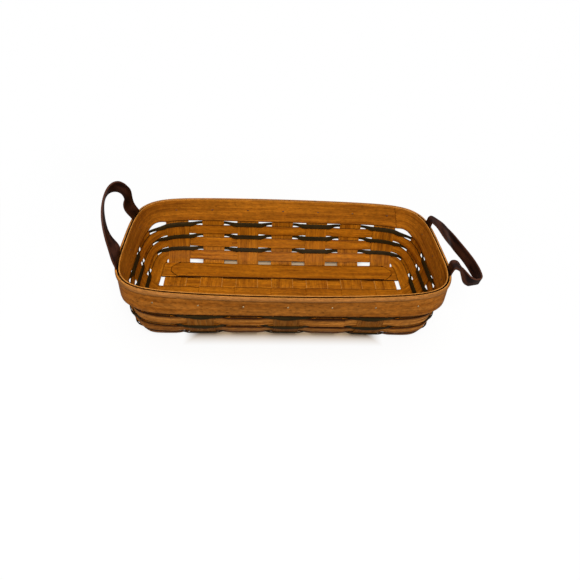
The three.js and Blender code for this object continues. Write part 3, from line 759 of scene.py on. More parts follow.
def tack_brass():
    """Brass plated steel tacks, dulled: soft shine with brown tarnish in patches about a millimetre wide,
    and the tips that are bent over inside the basket tarnished all over."""
    hues = bpy.context.scene.basket_finishes
    material, tree = new_material("dull_brass_tack")
    place = add_node(tree, "ShaderNodeTexCoord").outputs["Object"]
    tip = add_node(tree, "ShaderNodeAttribute", attribute_name="tarnish").outputs["Fac"]
    scaled = add_node(tree, "ShaderNodeMapping", {"Scale": per_metre(1.2, 1.2, 1.2)}, {"Vector": place})
    patches = add_node(tree, "ShaderNodeTexNoise", {"Scale": 1.0, "Detail": 3.0}, {"Vector": scaled})
    limits = {"From Min": 0.45, "From Max": 0.65, "To Max": 0.5}
    spotted = add_node(tree, "ShaderNodeMapRange", limits, {"Value": patches})
    tarnish = add_node(tree, "ShaderNodeMath", None, {0: spotted, 1: tip}, operation="MAXIMUM")
    colours = {"A": (*hues.tack, 1), "B": (*hues.tarnish, 1)}
    tint = add_node(tree, "ShaderNodeMix", colours, {"Factor": tarnish}, data_type="RGBA")
    metal = add_node(tree, "ShaderNodeMapRange", {"To Min": 1.0, "To Max": 0.0}, {"Value": tip})
    gloss = add_node(tree, "ShaderNodeMapRange", {"To Min": 0.3, "To Max": 0.55}, {"Value": patches})
    shader = add_node(
        tree, "ShaderNodeBsdfPrincipled", None, {"Base Color": tint, "Roughness": gloss, "Metallic": metal})
    add_node(tree, "ShaderNodeOutputMaterial", None, {"Surface": shader})
    return material


# Splints

def stake_slants():
    """Slant lengths of the columns of a stake, closer together in its bends."""
    top = bpy.context.scene.basket_weave.stake_top
    foot = [FOOT_COLUMN * i for i in range(FOOT_COLUMNS)]
    belly = [FOOT_COLUMN * FOOT_COLUMNS + BELLY_COLUMN * i for i in range(BELLY_COLUMNS)]
    straight = [mix(STRAIGHT_FOOT, top, i / STRAIGHT_COLUMNS) for i in range(STRAIGHT_COLUMNS + 1)]
    return foot + belly + straight


def splint_path(floor_half, level_at):
    """Columns of a splint from one rim to the other: wall columns are (sign, slant, lift), floor columns
    are (0, place, level)."""
    weave = bpy.context.scene.basket_weave
    end_level = level_at(floor_half)
    slants = stake_slants()

    def lift(slant):
        return (end_level - high_level()) * (1 - smooth(slant, 0, weave.level_fade))

    count = round(2 * floor_half / FLOOR_STEP)
    floor = [mix(-floor_half, floor_half, i / count) for i in range(1, count)]
    front = [(-1, slant, lift(slant)) for slant in reversed(slants)]
    back = [(1, slant, lift(slant)) for slant in slants]
    return front + [(0, place, level_at(place)) for place in floor] + back


def make_splint(name, centre, runs_along, floor_half, level_at, phase):
    """A floor splint that turns up at both ends as a stake. runs_along is y for a cross splint, x for a
    long one, and phase is 1 for a stake that has the dark weavers outside, -1 for one with them inside."""
    weave = bpy.context.scene.basket_weave
    path = splint_path(floor_half, level_at)
    is_cross = runs_along == "y"

    def place(column, row):
        sign, value, level = path[round(column)]
        across = centre + (row / SPLINT_ROWS - 0.5) * weave.splint_width
        if sign == 0:
            flat = Vector((across, value, level)) if is_cross else Vector((value, across, level))
            return flat + Vector((0, 0, ripple(flat, "splint")))
        spot = Spot("side", across, 0, sign) if is_cross else Spot("end", across, sign, 0)
        return wall_point(spot, value, phase * stake_sway(value)) + Vector((0, 0, level))

    size = (2 * (floor_half + weave.stake_top), weave.splint_width)
    material = finish_of("cross" if is_cross else "strip")
    strip = bend_strip(name, len(path) - 1, SPLINT_ROWS, place, size, material, tone_of(name))
    edges = strip.data.attributes["edge"].data
    shades = strip.data.attributes.new("shade", "FLOAT", "POINT").data
    for vert, edge, shade in zip(strip.data.vertices, edges, shades):
        # Painted shadow of the outer band, darker towards it
        shade.value = smooth(vert.co.z, *BAND_SHADE)
        # Pale edges with their painted highlight, and dark edges, stay faint off the floor's middle
        if abs(vert.co.y) > BARE_LIT_EDGE_REACH or vert.co.z > BARE_LIT_EDGE_HEIGHT:
            edge.value *= COVERED_EDGE
    # The stakes' outer faces take the darker copy, painted with shade
    faces = [finish_of("cross_shaded_outside"), material]
    if not is_cross:
        faces.reverse()
    thicken(
        strip, weave.splint_thickness, SPLINT_ROUNDING, materials=faces, rim=faces.index(material))
    settle(strip, "natural_splint", name)


def cross_level(number):
    """Level of a cross splint at each Y: over the fillers, under the middle long splint, and under the
    other two if it is of the outer pairs."""
    weave = bpy.context.scene.basket_weave
    half = weave.splint_width / 2
    jog = 1.6 * MM

    def level_at(y):
        share = smooth(abs(y), half, half + jog)
        if is_outer_pair(number):
            share -= smooth(abs(y), weave.splint_pitch - half - jog, weave.splint_pitch - half)
        return mix(low_level(), high_level(), share)

    return level_at


def woven_level(is_over):
    """Level at each X of a strip that runs along the basket, over some cross splints and under others."""
    weave = bpy.context.scene.basket_weave
    half = weave.splint_width / 2 + weave.fit_gap
    stakes = [(number * weave.splint_pitch, 1 if is_over(number) else -1) for number in CROSS_NUMBERS]
    return lambda x: mix(low_level(), high_level(), (crossing(x, stakes, half) + 1) / 2)


class BASKET_OT_add_splints(bpy.types.Operator):
    """Adds the cross splints and long splints, whose ends stand up as the wall's stakes"""
    bl_idname = "basket.add_splints"
    bl_label = "Add splints"

    def execute(self, context):
        wall, pitch = context.scene.basket_wall, context.scene.basket_weave.splint_pitch
        for i, number in enumerate(CROSS_NUMBERS, 1):
            make_splint(
                f"cross_splint_{i}", number * pitch, "y", wall.floor_half_width,
                cross_level(number), cross_phase(number))
        for name, row in LONG_ROWS.items():
            make_splint(
                f"long_splint_{name}", row * pitch, "x", wall.floor_half_length,
                woven_level(is_outer_pair if row else lambda number: True), long_phase(row))
        return {"FINISHED"}


class BASKET_OT_add_floor_strips(bpy.types.Operator):
    """Adds the fillers woven between the long splints and the runners laid over the floor"""
    bl_idname = "basket.add_floor_strips"
    bl_label = "Add floor strips"

    COLUMNS = 120
    FILLER_ROWS = 5
    # Clipped ends get the strips' dark edge: more stain, with painted shade
    CLIP_STAIN = 1.25
    CLIP_SLACK = 0.1 * MM

    def execute(self, context):
        weave = context.scene.basket_weave
        for name, sign in (("front", -1), ("back", 1)):
            self.add_filler(weave, f"floor_filler_{name}", sign * weave.splint_pitch / 2)
            self.add_runner(weave, f"floor_runner_{name}", sign * weave.splint_pitch)
        return {"FINISHED"}

    def add_filler(self, weave, name, y):
        half, width, rows = weave.filler_half_length, weave.filler_width, self.FILLER_ROWS

        def place(column, row):
            x = mix(-half, half, column / self.COLUMNS)
            point = Vector((x, y + (row / rows - 0.5) * width, low_level() + LAID_GAP))
            return point + Vector((0, ripple(point, "filler"), 0))

        size = (2 * half, width)
        strip = bend_strip(name, self.COLUMNS, rows, place, size, finish_of("strip"), tone_of(name))
        settle(thicken(strip, weave.splint_thickness, SPLINT_ROUNDING), "natural_splint", name)

    def add_runner(self, weave, name, y):
        half, width, clip = weave.runner_half_length, weave.splint_width, weave.runner_clip
        middle = weave.runner_shift
        level = high_level() + weave.splint_thickness + weave.fit_gap

        def place(column, row):
            x = middle + mix(-half, half, column / self.COLUMNS)
            point = Vector((x, y + (row / SPLINT_ROWS - 0.5) * width, level))
            return point + Vector((0, 0, LAID_GAP + ripple(point, "runner")))

        size = (2 * half, width)
        strip = bend_strip(name, self.COLUMNS, SPLINT_ROWS, place, size, finish_of("strip"), tone_of(name))
        bm = bmesh.new()
        bm.from_mesh(strip.data)
        for sign_x in (-1, 1):
            for sign_y in (-1, 1):
                bmesh.ops.bisect_plane(
                    bm, geom=bm.verts[:] + bm.edges[:] + bm.faces[:], dist=CUT_TOLERANCE,
                    plane_co=(middle + sign_x * (half - clip), y + sign_y * width / 2, level),
                    plane_no=(sign_x, sign_y, 0), clear_outer=True)
        stain = bm.verts.layers.float["edge"]
        for vert in bm.verts:
            if vert.is_boundary and abs(vert.co.x - middle) > half - clip - self.CLIP_SLACK:
                vert[stain] = self.CLIP_STAIN
        bm.to_mesh(strip.data)
        bm.free()
        settle(thicken(strip, weave.splint_thickness, SPLINT_ROUNDING), "natural_splint", name)


# Weavers and rim

def lapped_ring(name, heights, offset, lap, size, material, rows):
    """A strip once round the wall, whose last stretch lies over its first.
    heights(stop) gives its lower and upper edges, offset(stop, slant, share) its distance from the wall,
    and lap where it starts, how far it overlaps, over what length it lifts, how far the upper layer stands
    off and how much its end is clipped."""
    stops = ring_stops()
    start = stop_near(stops, *lap.start)
    clip = lap.clip / RING_STEP
    ramp = round(lap.ramp / RING_STEP)
    columns = len(stops) + round(lap.overlap / RING_STEP)

    def at_stop(index, share, column):
        stop = stops[(start + index) % len(stops)]
        slant = mix(*heights(stop), share)
        stand_off = lap.stand_off * smooth(column, len(stops) - ramp, len(stops))
        uneven = ripple(wall_point(stop.spot, slant, 0), "ring")
        return wall_point(stop.spot, slant, offset(stop, slant, share) + stand_off + uneven)

    def place(column, row):
        share = row / rows
        column *= 1 - clip * (1 - share) / columns
        index = int(column)
        part = column - index
        here = at_stop(index, share, column)
        return here if part < WHOLE_COLUMN else here.lerp(at_stop(index + 1, share, column), part)

    return bend_strip(name, columns, rows, place, size, material, tone_of(name))


def weaver_offset(side):
    """Distance of a weaver from the wall's middle: outside one stake and inside the next, slightly crowned.
    side is 1 for the dark weavers and -1 for the wide ones, whose lower edges stand off outside."""
    weave = bpy.context.scene.basket_weave
    middle = weave.splint_thickness / 2 + weave.fit_gap + weave.weaver_thickness / 2
    crown_height = 0.2 * MM

    def offset(stop, slant, share):
        crown = crown_height * (1 - (2 * share - 1) ** 2)
        loose = weave.loose_edge * max(side * stop.phase, 0) * (1 - share) ** 2 if side < 0 else 0
        return side * stop.phase * (middle + crown) + stop.phase * stake_sway(slant) + loose

    return offset


class BASKET_OT_add_weavers(bpy.types.Operator):
    """Adds the wide natural weavers and the narrow dark green ones between them"""
    bl_idname = "basket.add_weavers"
    bl_label = "Add weavers"

    NATURAL_STARTS = [("side", -1, 22 * MM), ("side", 1, -68 * MM), ("side", 1, 24 * MM)]
    ACCENT_START = ("side", 1, 68 * MM)
    LAP = {"overlap": 42 * MM, "ramp": 8 * MM, "stand_off": 1.05 * MM}
    NATURAL_GRID_ROWS = 8
    ACCENT_GRID_ROWS = 5
    ROUNDING = 0.25 * MM
    EDGE_GAP = 0.15 * MM
    # Shares of a stake's half width, and phases, between which a dark weaver twists
    TWIST_SHARES = (0.2, 1)
    TWIST_PHASES = (-1, 0.9)

    def execute(self, context):
        weave = context.scene.basket_weave
        for row in range(WEAVER_ROWS):
            name = f"natural_weaver_{row + 1}"
            lap = Lap(self.NATURAL_STARTS[row], **self.LAP)
            strip = lapped_ring(
                name, self.natural_heights(weave, row), weaver_offset(-1), lap,
                (WEAVER_RUN, weave.row_pitch), finish_of("weaver"), self.NATURAL_GRID_ROWS)
            # Outer faces with painted shade along their seams
            faces = finish_of("weaver_outside"), finish_of("weaver")
            thicken(strip, weave.weaver_thickness, self.ROUNDING, materials=faces)
            settle(strip, "natural_splint", name)
            name = f"accent_weaver_{row + 1}"
            lap = Lap(self.ACCENT_START, **self.LAP)
            strip = lapped_ring(
                name, self.accent_heights(weave, row), weaver_offset(1), lap,
                (WEAVER_RUN, weave.accent_height), finish_of("accent"), self.ACCENT_GRID_ROWS)
            thicken(strip, weave.weaver_thickness, self.ROUNDING)
            settle(strip, "dark_green_splint", name)
        return {"FINISHED"}

    def natural_heights(self, weave, row):
        """The lowest wide weaver reaches lower along the ends, and the top one is lower at the corners."""
        line = weave.top_line - row * weave.row_pitch
        foot = line - weave.row_pitch + self.EDGE_GAP
        drop = weave.end_drop if row == WEAVER_ROWS - 1 else 0
        dip = weave.corner_dip if row == 0 else 0
        top = line - weave.accent_room
        return lambda stop: (foot - drop * stop.end_share, top - dip * corner_share(stop))

    def accent_heights(self, weave, row):
        """A dark weaver twists, and so narrows, where it slips out past a stake's edge."""
        pitch = weave.splint_pitch
        dip = weave.corner_dip if row == 0 else 0

        def edges(stop):
            reach = abs((stop.spot.along / pitch + 0.5) % 1 - 0.5)
            past = smooth(2 * reach * pitch / weave.splint_width, *self.TWIST_SHARES)
            if stop.spot.kind == "corner":
                past = 1
            twist = smooth(stop.phase, *self.TWIST_PHASES) * past
            line = weave.top_line - row * weave.row_pitch - dip * corner_share(stop)
            return line - mix(weave.accent_height, weave.accent_waist, twist), line - self.EDGE_GAP

        return edges


class BASKET_OT_add_rim(bpy.types.Operator):
    """Adds the inner and outer bands and the half round trim"""
    bl_idname = "basket.add_rim"
    bl_label = "Add rim"

    INNER_LAP = Lap(("corner", 1, 0.7), overlap=30 * MM, ramp=20 * MM, stand_off=-1.3 * MM, clip=9 * MM)
    OUTER_LAP = Lap(("side", 1, -60 * MM), overlap=70 * MM, ramp=30 * MM, stand_off=0.4 * MM)
    INNER_ROUNDING = 0.45 * MM
    OUTER_ROUNDING = 0.5 * MM
    BAND_ROWS = 8
    TRIM_START = ("side", -1, 86 * MM)
    TRIM_ROWS = 12
    TRIM_SEAM = 0.01 * MM

    def execute(self, context):
        rim = context.scene.basket_rim

        def inner(stop, slant, share):
            return -rim.clearance - rim.inner_thickness / 2

        def outer(stop, slant, share):
            return outer_face(stop.end_share, share) - rim.outer_thickness / 2

        band = self.band_ring("inner_band", rim.inner_foot, rim.inner_top, inner, self.INNER_LAP, "band")
        # One face, turned to the outer band, is painted dark as the groove's shade
        faces = finish_of("lining"), finish_of("band")
        thicken(band, rim.inner_thickness, self.INNER_ROUNDING, segments=3, materials=faces, rim=1)
        settle(band, "rim_wood", "inner_band")
        band = self.band_ring(
            "outer_band", rim.outer_foot, rim.outer_top, outer, self.OUTER_LAP, "band_outside")
        # The face turned to the inner band is painted dark as the groove's shade
        faces = finish_of("band_outside"), finish_of("lining")
        thicken(band, rim.outer_thickness, self.OUTER_ROUNDING, segments=3, materials=faces)
        settle(band, "rim_wood", "outer_band")
        self.add_trim(rim)
        return {"FINISHED"}

    def band_ring(self, name, foot, top, offset, lap, finish):
        """A flat band whose lower edge is lifted a little at the corners."""
        lift = bpy.context.scene.basket_rim.corner_lift

        def heights(stop):
            return foot + lift * corner_share(stop), top

        size = (BAND_RUN, top - foot)
        return lapped_ring(name, heights, offset, lap, size, finish_of(finish), self.BAND_ROWS)

    def add_trim(self, rim):
        """A half round strip: its last two rows are its flat back, and its first and last edges meet."""
        stops = ring_stops()
        start = stop_near(stops, *self.TRIM_START)
        rows = self.TRIM_ROWS

        def place(column, row):
            stop = stops[(start + round(column)) % len(stops)]
            angle = math.radians(mix(-90, 90, min(row / (rows - 2), 1)))
            slant = rim.trim_centre + rim.trim_half_height * math.sin(angle)
            depth = mix(rim.trim_depth, rim.trim_end_depth, stop.end_share) * math.cos(angle)
            if row == rows - 1:
                slant, depth = rim.trim_centre, 0
            if row == rows:
                slant, depth = rim.trim_centre - rim.trim_half_height, 0
            return wall_point(stop.spot, slant, outer_face(stop.end_share, 1) + depth)

        size = (TRIM_RUN, 2 * math.pi * rim.trim_half_height)
        trim = bend_strip("rim_trim", len(stops), rows, place, size, finish_of("trim"), tone=0.0)
        bm = bmesh.new()
        bm.from_mesh(trim.data)
        bmesh.ops.remove_doubles(bm, verts=bm.verts[:], dist=self.TRIM_SEAM)
        bmesh.ops.recalc_face_normals(bm, faces=bm.faces[:])
        bm.to_mesh(trim.data)
        bm.free()
        settle(trim, "trim_wood", "rim_trim")


class BASKET_OT_add_tacks(bpy.types.Operator):
    """Adds the tacks of the rim, each a low dome outside and a bent over tip inside"""
    bl_idname = "basket.add_tacks"
    bl_label = "Add tacks"

    HEAD_SHARES = (1, 1, 0.5)
    TIP_SHARES = (1.7, 0.7, 0.4)
    TIP_RADIUS = 0.9 * MM
    SEGMENTS = 16
    RINGS = 10

    def execute(self, context):
        pitch, rim = context.scene.basket_weave.splint_pitch, context.scene.basket_rim
        bm = bmesh.new()
        bm.verts.layers.float.new("tarnish")
        spots = {}
        for i, number in enumerate(CROSS_NUMBERS, 1):
            spots[f"tack_front_{i}"] = Spot("side", number * pitch, 0, -1)
            spots[f"tack_back_{i}"] = Spot("side", number * pitch, 0, 1)
        for i, row in enumerate(LONG_ROWS.values(), 1):
            spots[f"tack_left_{i}"] = Spot("end", row * pitch, -1, 0)
            spots[f"tack_right_{i}"] = Spot("end", row * pitch, 1, 0)
        share = (rim.tack_height - rim.outer_foot) / (rim.outer_top - rim.outer_foot)
        inner = -rim.clearance - rim.inner_thickness
        for spot in spots.values():
            outer = outer_face(float(spot.kind == "end"), share)
            self.add_dome(bm, spot, outer, self.HEAD_SHARES, rim.tack_radius, 0)
            self.add_dome(bm, spot, inner, self.TIP_SHARES, self.TIP_RADIUS, 1)
        settle(piece_from(bm, "rim_tacks", tack_brass()), "tack_brass", *spots)
        return {"FINISHED"}

    def add_dome(self, bm, spot, offset, shares, radius, tarnish):
        """A flattened ball half sunk in a band's face, as tarnished as its attribute says."""
        height = bpy.context.scene.basket_rim.tack_height
        place = bowed(wall_point(spot, height, offset))
        normal = (bowed(wall_point(spot, height, offset + MM)) - place).normalized()
        turned = normal.to_track_quat("Z", "Y").to_matrix().to_4x4()
        matrix = Matrix.Translation(place) @ turned @ Matrix.Diagonal((*shares, 1))
        dome = bmesh.ops.create_uvsphere(
            bm, u_segments=self.SEGMENTS, v_segments=self.RINGS, radius=radius, matrix=matrix)
        layer = bm.verts.layers.float["tarnish"]
        for vert in dome["verts"]:
            vert[layer] = tarnish


# Leather straps: stations at rest, in millimetres, as a point on the centre line and the width's direction

LEFT_LOOP = [
    ((-178.5, -43.5, 86.5), (-0.1, 1, 0)),
    ((-179, -40, 92.5), (0.1, 1, 0)),
    ((-180, -34.5, 98.5), (0.6, 0.8, 0.1)),
    ((-186.5, -29, 108), (-0.05, 0.85, -0.5)),
    ((-192, -15.5, 121.5), (-0.05, 0.65, -0.75)),
    ((-193.5, 2.5, 135), (-0.35, 0.7, -0.6)),
    ((-189, 15.5, 140.5), (-0.25, 0.45, -0.85)),
    ((-180.5, 22.5, 139), (-0.05, 0.25, -0.95)),
    ((-175.5, 25.5, 129), (-0.35, 0.1, -0.95)),
    ((-177.5, 30, 119), (-0.5, -0.75, -0.45)),
    ((-179, 33, 106), (-0.5, -0.85, 0.05)),
    ((-176, 40, 93.5), (-0.6, -0.8, 0.05)),
    ((-178.5, 46, 86.5), (-0.15, -1, 0)),
]
RIGHT_LOOP = [
    ((179.2, 44.4, 91.4), (0, 1, 0)),
    ((180.4, 43.6, 93.4), (0.1, 1, 0)),
    ((183, 41.2, 93.2), (0.25, 0.95, 0)),
    ((188.5, 37, 90.5), (0.3, 0.95, 0.05)),
    ((194, 30.5, 86.5), (0.15, 0.9, 0.45)),
    ((201, 21.5, 81.5), (0, 0.7, 0.75)),
    ((207.5, 8, 78), (0, 0.3, 0.95)),
    ((214, -10, 75.5), (0.15, 0, 1)),
    ((217.5, -27, 73), (0.3, -0.15, 0.95)),
    ((217.5, -40, 73), (0.05, -0.3, 0.95)),
    ((216.5, -48.5, 74.5), (-0.35, -0.5, 0.8)),
    ((206, -48, 73.5), (-0.3, -0.4, 0.85)),
    ((200, -47.5, 76.5), (-0.2, 0.2, 0.95)),
    ((191.5, -43, 84), (-0.15, 0.75, 0.65)),
    ((188, -43.5, 92), (-0.1, 1, 0.2)),
    ((182.3, -43.7, 94.4), (0, 1, 0.1)),
    ((180.2, -43.6, 94), (0, 1, 0)),
    ((179.2, -43.7, 91.4), (0, 1, 0)),
]

# Where each strap starts to follow its handle and where it follows it wholly, in metres

LEFT_BEND = ((-0.1792, 0, 0.0885), (-0.1792, 0, 0.097))
RIGHT_BEND = ((0.1778, 0, 0.089), (0.1831, 0, 0.091))


def spline(points, steps):
    """Points on a centripetal Catmull-Rom curve through the points, with some steps between each two."""
    ends = [2 * points[0] - points[1], *points, 2 * points[-1] - points[-2]]
    line = []
    for before, here, after, later in zip(ends, ends[1:], ends[2:], ends[3:]):
        a = 0.0
        b = a + max((here - before).length, LEAST_STEP) ** 0.5
        c = b + max((after - here).length, LEAST_STEP) ** 0.5
        d = c + max((later - after).length, LEAST_STEP) ** 0.5
        for i in range(steps):
            t = mix(b, c, i / steps)
            first = before.lerp(here, (t - a) / (b - a))
            second = here.lerp(after, (t - b) / (c - b))
            third = after.lerp(later, (t - c) / (d - c))
            near = first.lerp(second, (t - a) / (c - a))
            far = second.lerp(third, (t - b) / (d - b))
            line.append(near.lerp(far, (t - b) / (c - b)))
    return [*line, points[-1].copy()]


def eased(points, passes=14):
    """Points of a curve with its kinks smoothed out, ends kept."""
    for _ in range(passes):
        middle = [(a + 2 * b + c) / 4 for a, b, c in zip(points, points[1:], points[2:])]
        points = [points[0], *middle, points[-1]]
    return points


class BASKET_OT_add_straps(bpy.types.Operator):
    """Adds the two leather straps, each one piece from the rim round its loop and back into the rim"""
    bl_idname = "basket.add_straps"
    bl_label = "Add straps"

    STEPS = 8
    ROWS = 8
    ROUNDING = 0.45 * MM
    LEAST_SLOPE = 0.75
    # Shares of the held length between which a strap gets its full thickness
    SKIVED_TO = (0.7, 1.2)
    # Shares of the held length where a strap lies on its stake, and its distance from the wall at the rim
    HELD_SHARES = (0, 0.4, 0.74)
    EXIT_OFFSET = 0.2 * MM

    def execute(self, context):
        strap, leather = context.scene.basket_strap, strap_leather()
        self.add_strap(strap, "left", LEFT_LOOP, leather, *LEFT_BEND)
        self.add_strap(strap, "right", RIGHT_LOOP, leather, *RIGHT_BEND)
        return {"FINISHED"}

    def add_strap(self, strap, end, loop, leather, start, finish):
        """A strip along eased curves through the stations. Where its width lies aslant to its run, it is
        made wider, so that the leather keeps its own width."""
        stations = [(Vector(at) * MM, Vector(width).normalized()) for at, width in loop]
        first = self.rim_stations(strap, *stations[0])
        last = self.rim_stations(strap, *stations[-1])
        stations = first + stations + last[::-1]
        line = eased(spline([at for at, _ in stations], self.STEPS))
        widths = eased(spline([width for _, width in stations], self.STEPS))
        widths = [width.normalized() for width in widths]
        halves = []
        for before, after, width in zip(line[:1] + line, line[1:] + line[-1:], widths):
            slope = max(width.cross((after - before).normalized()).length, self.LEAST_SLOPE)
            halves.append(width * strap.width / 2 / slope)
        halves = eased(halves)
        first_edge = eased([at - half for at, half in zip(line, halves)])
        last_edge = eased([at + half for at, half in zip(line, halves)])

        def place(column, row):
            i = round(column)
            return first_edge[i].lerp(last_edge[i], row / self.ROWS)

        run = sum((b - a).length for a, b in zip(line, line[1:]))
        columns = len(line) - 1
        size = (run, strap.width)
        piece = bend_strip(
            f"{end}_strap", columns, self.ROWS, place, size, leather, tone=0.0, shape=Vector)
        held = len(first) * self.STEPS / columns
        pared, full = [share * held for share in self.SKIVED_TO]

        def skived(along):
            return mix(strap.skive, 1, smooth(min(along, 1 - along), pared, full))

        thicken(piece, strap.thickness, self.ROUNDING, segments=3, shares=skived)
        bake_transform(piece, "basket", f"{end}_handle", start=start, end=finish)
        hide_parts(f"{end}_handle_loop", f"{end}_strap_end_front", f"{end}_strap_end_back")

    def rim_stations(self, strap, at, width):
        """Stations of a strap end from its foot behind the outer band up to where it leaves the rim."""
        stake_face = bpy.context.scene.basket_weave.splint_thickness / 2
        on_stake = stake_face + LAID_GAP + strap.skive * strap.thickness / 2
        half = math.copysign(strap.width / 2, width.y)
        sign = math.copysign(1, at.x)
        stations = []
        for share in (*self.HELD_SHARES, 1):
            offset = self.EXIT_OFFSET if share == 1 else on_stake
            slant = mix(strap.end_foot, strap.end_top, share)
            y = at.y + math.copysign(strap.end_lean * (1 - share), at.y)
            spots = [Spot("end", across, sign, 0) for across in (y - half, y, y + half)]
            low, middle, high = [wall_point(spot, slant, offset) for spot in spots]
            stations.append((middle, (high - low).normalized()))
        return stations


# Stage

class BASKET_OT_add_stage(bpy.types.Operator):
    """Adds the pale floor, the soft studio light and the camera"""
    bl_idname = "basket.add_stage"
    bl_label = "Add stage"

    # The camera's axes, its place in metres, and its lens and sensor in millimetres
    CAMERA_RIGHT = (0.9974, -0.0405, 0.0599)
    CAMERA_UP = (-0.0159, 0.6853, 0.7281)
    CAMERA_FORWARD = (0.0705, 0.7271, -0.6829)
    CAMERA_AT = (-0.03085, -0.4108, 0.39746)
    CAMERA_LENS = 27.93
    SENSOR_WIDTH = 36
    # The floor, in metres, the grey that the basket sees of it, and the patch of painted warm shade under it
    GROUND_RADIUS = 6
    GROUND_SEGMENTS = 96
    BOUNCE_GREY = 0.3
    SHADE_HALF_LENGTH = 85 * MM
    SHADE_BACK = 9 * MM
    # Each lamp has its place and its disc's size, in metres, and its power in watts
    LAMPS = {"key": ((0.0, -0.95, 1.25), 0.8, 21), "top": ((0.1, 0.35, 1.6), 1.0, 2)}
    LAMP_AIM = Vector((0, 0, 0.04))

    def execute(self, context):
        self.add_camera(context.scene)
        self.add_ground()
        self.add_lights(context.scene)
        self.set_world(context.scene)
        context.scene.view_settings.view_transform = "Standard"
        return {"FINISHED"}

    def add_camera(self, scene):
        data = bpy.data.cameras.new("camera")
        data.lens = self.CAMERA_LENS
        data.sensor_width = self.SENSOR_WIDTH
        camera = bpy.data.objects.new("camera", data)
        columns = (Vector(self.CAMERA_RIGHT), Vector(self.CAMERA_UP), -Vector(self.CAMERA_FORWARD))
        turned = Matrix([[column[row] for column in columns] for row in range(3)])
        camera.matrix_world = Matrix.Translation(self.CAMERA_AT) @ turned.to_4x4()
        scene.collection.objects.link(camera)
        scene.camera = camera

    def add_ground(self):
        bm = bmesh.new()
        bmesh.ops.create_circle(
            bm, cap_ends=True, segments=self.GROUND_SEGMENTS, radius=self.GROUND_RADIUS)
        piece_from(bm, "ground", self.ground_paper())

    def ground_paper(self):
        """Matt pale paper sweep: nearly white to the camera, and it keeps the basket's soft shadow.
        Close to the basket's foot its colour is a painted warm shade, and it gets whiter away from it."""
        material, tree = new_material("pale_paper")
        hues = bpy.context.scene.basket_finishes
        half_width = bpy.context.scene.basket_wall.floor_half_width
        seen = add_node(tree, "ShaderNodeLightPath").outputs["Is Camera Ray"]
        place = add_node(tree, "ShaderNodeTexCoord").outputs["Object"]
        axes = add_node(tree, "ShaderNodeSeparateXYZ", None, {"Vector": place})
        beyond = []
        for axis, middle, half in (("X", 0, self.SHADE_HALF_LENGTH), ("Y", self.SHADE_BACK, half_width)):
            along = axes.outputs[axis]
            moved = add_node(tree, "ShaderNodeMath", {1: middle}, {0: along}, operation="SUBTRACT")
            reach = add_node(tree, "ShaderNodeMath", None, {0: moved}, operation="ABSOLUTE")
            beyond.append(add_node(tree, "ShaderNodeMath", {1: half}, {0: reach}, operation="SUBTRACT"))
        outside = add_node(tree, "ShaderNodeMath", None, {0: beyond[0], 1: beyond[1]}, operation="MAXIMUM")
        limits = {"From Min": 12 * MM, "From Max": 30 * MM}
        near = add_node(tree, "ShaderNodeMapRange", limits, {"Value": outside})
        limits = {"From Min": 50 * MM, "From Max": 350 * MM, "To Max": 0.16}
        far = add_node(tree, "ShaderNodeMapRange", limits, {"Value": outside})
        # Painted shade: near the basket's foot the paper's colour turns to the warm ground shade
        colours = {"A": (*hues.ground_shade, 1), "B": (*hues.ground, 1)}
        paper = add_node(tree, "ShaderNodeMix", colours, {"Factor": near}, data_type="RGBA")
        grey = {"A": (self.BOUNCE_GREY, self.BOUNCE_GREY, self.BOUNCE_GREY, 1)}
        bounce = add_node(tree, "ShaderNodeMix", grey, {"B": paper, "Factor": seen}, data_type="RGBA")
        matt = add_node(tree, "ShaderNodeBsdfDiffuse", None, {"Color": bounce})
        white = add_node(tree, "ShaderNodeEmission", {"Color": (1, 1, 1, 1), "Strength": 1.0})
        lift = add_node(tree, "ShaderNodeMath", {1: 0.84}, {0: near, 2: far}, operation="MULTIPLY_ADD")
        share = add_node(tree, "ShaderNodeMath", None, {0: lift, 1: seen}, operation="MULTIPLY")
        shown = add_node(tree, "ShaderNodeMixShader", None, {"Fac": share, 1: matt, 2: white})
        add_node(tree, "ShaderNodeOutputMaterial", None, {"Surface": shown})
        return material

    def add_lights(self, scene):
        for name, (at, size, watts) in self.LAMPS.items():
            data = bpy.data.lights.new(name, "AREA")
            data.shape = "DISK"
            data.size = size
            data.energy = watts
            lamp = bpy.data.objects.new(name, data)
            lamp.location = at
            lamp.rotation_euler = (self.LAMP_AIM - Vector(at)).to_track_quat("-Z", "Y").to_euler()
            scene.collection.objects.link(lamp)

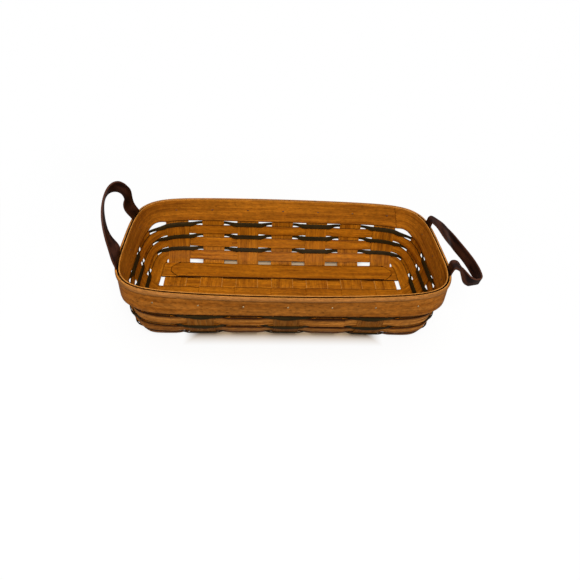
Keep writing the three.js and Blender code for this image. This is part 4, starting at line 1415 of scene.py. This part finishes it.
    def set_world(self, scene):
        """White to the camera, and to the basket a soft glow that is stronger from above."""
        world = bpy.data.worlds.new("studio")
        world.use_nodes = True
        tree = world.node_tree
        tree.nodes.clear()
        seen = add_node(tree, "ShaderNodeLightPath").outputs["Is Camera Ray"]
        ray = add_node(tree, "ShaderNodeTexCoord").outputs["Generated"]
        height = add_node(tree, "ShaderNodeSeparateXYZ", None, {"Vector": ray}).outputs["Z"]
        limits = {"From Min": 0.05, "From Max": 0.8, "To Min": 0.1, "To Max": 0.6}
        glow = add_node(tree, "ShaderNodeMapRange", limits, {"Value": height})
        shares = {"A": glow, "Factor": seen}
        strength = add_node(tree, "ShaderNodeMix", {"B": 1.0}, shares, data_type="FLOAT")
        sky = add_node(tree, "ShaderNodeBackground", {"Color": (1, 1, 1, 1)}, {"Strength": strength})
        add_node(tree, "ShaderNodeOutputWorld", None, {"Surface": sky})
        scene.world = world


class BASKET_PT_panel(bpy.types.Panel):
    """Sizes, colours and building steps of the basket"""
    bl_idname = "BASKET_PT_panel"
    bl_label = "Bread basket"
    bl_space_type = "VIEW_3D"
    bl_region_type = "UI"
    bl_category = "Basket"

    def draw(self, context):
        for operator in OPERATORS:
            self.layout.operator(operator.bl_idname)
        for name, group in GROUPS.items():
            column = self.layout.column(align=True)
            column.label(text=group.__name__)
            for setting in group.__annotations__:
                column.prop(getattr(context.scene, name), setting)


OPERATORS = (
    BASKET_OT_add_stage,
    BASKET_OT_add_splints,
    BASKET_OT_add_floor_strips,
    BASKET_OT_add_weavers,
    BASKET_OT_add_rim,
    BASKET_OT_add_tacks,
    BASKET_OT_add_straps,
)
GROUPS = {
    "basket_wall": WallSizes,
    "basket_weave": WeaveSizes,
    "basket_rim": RimSizes,
    "basket_strap": StrapSizes,
    "basket_finishes": Finishes,
}


def register():
    for cls in (*GROUPS.values(), *OPERATORS, BASKET_PT_panel):
        bpy.utils.register_class(cls)
    for name, group in GROUPS.items():
        setattr(bpy.types.Scene, name, PointerProperty(type=group))


def unregister():
    for name in GROUPS:
        delattr(bpy.types.Scene, name)
    for cls in reversed((*GROUPS.values(), *OPERATORS, BASKET_PT_panel)):
        bpy.utils.unregister_class(cls)


def main():
    register()
    for operator in OPERATORS:
        group, name = operator.bl_idname.split(".")
        getattr(getattr(bpy.ops, group), name)()


if __name__ == "__main__":
    main()
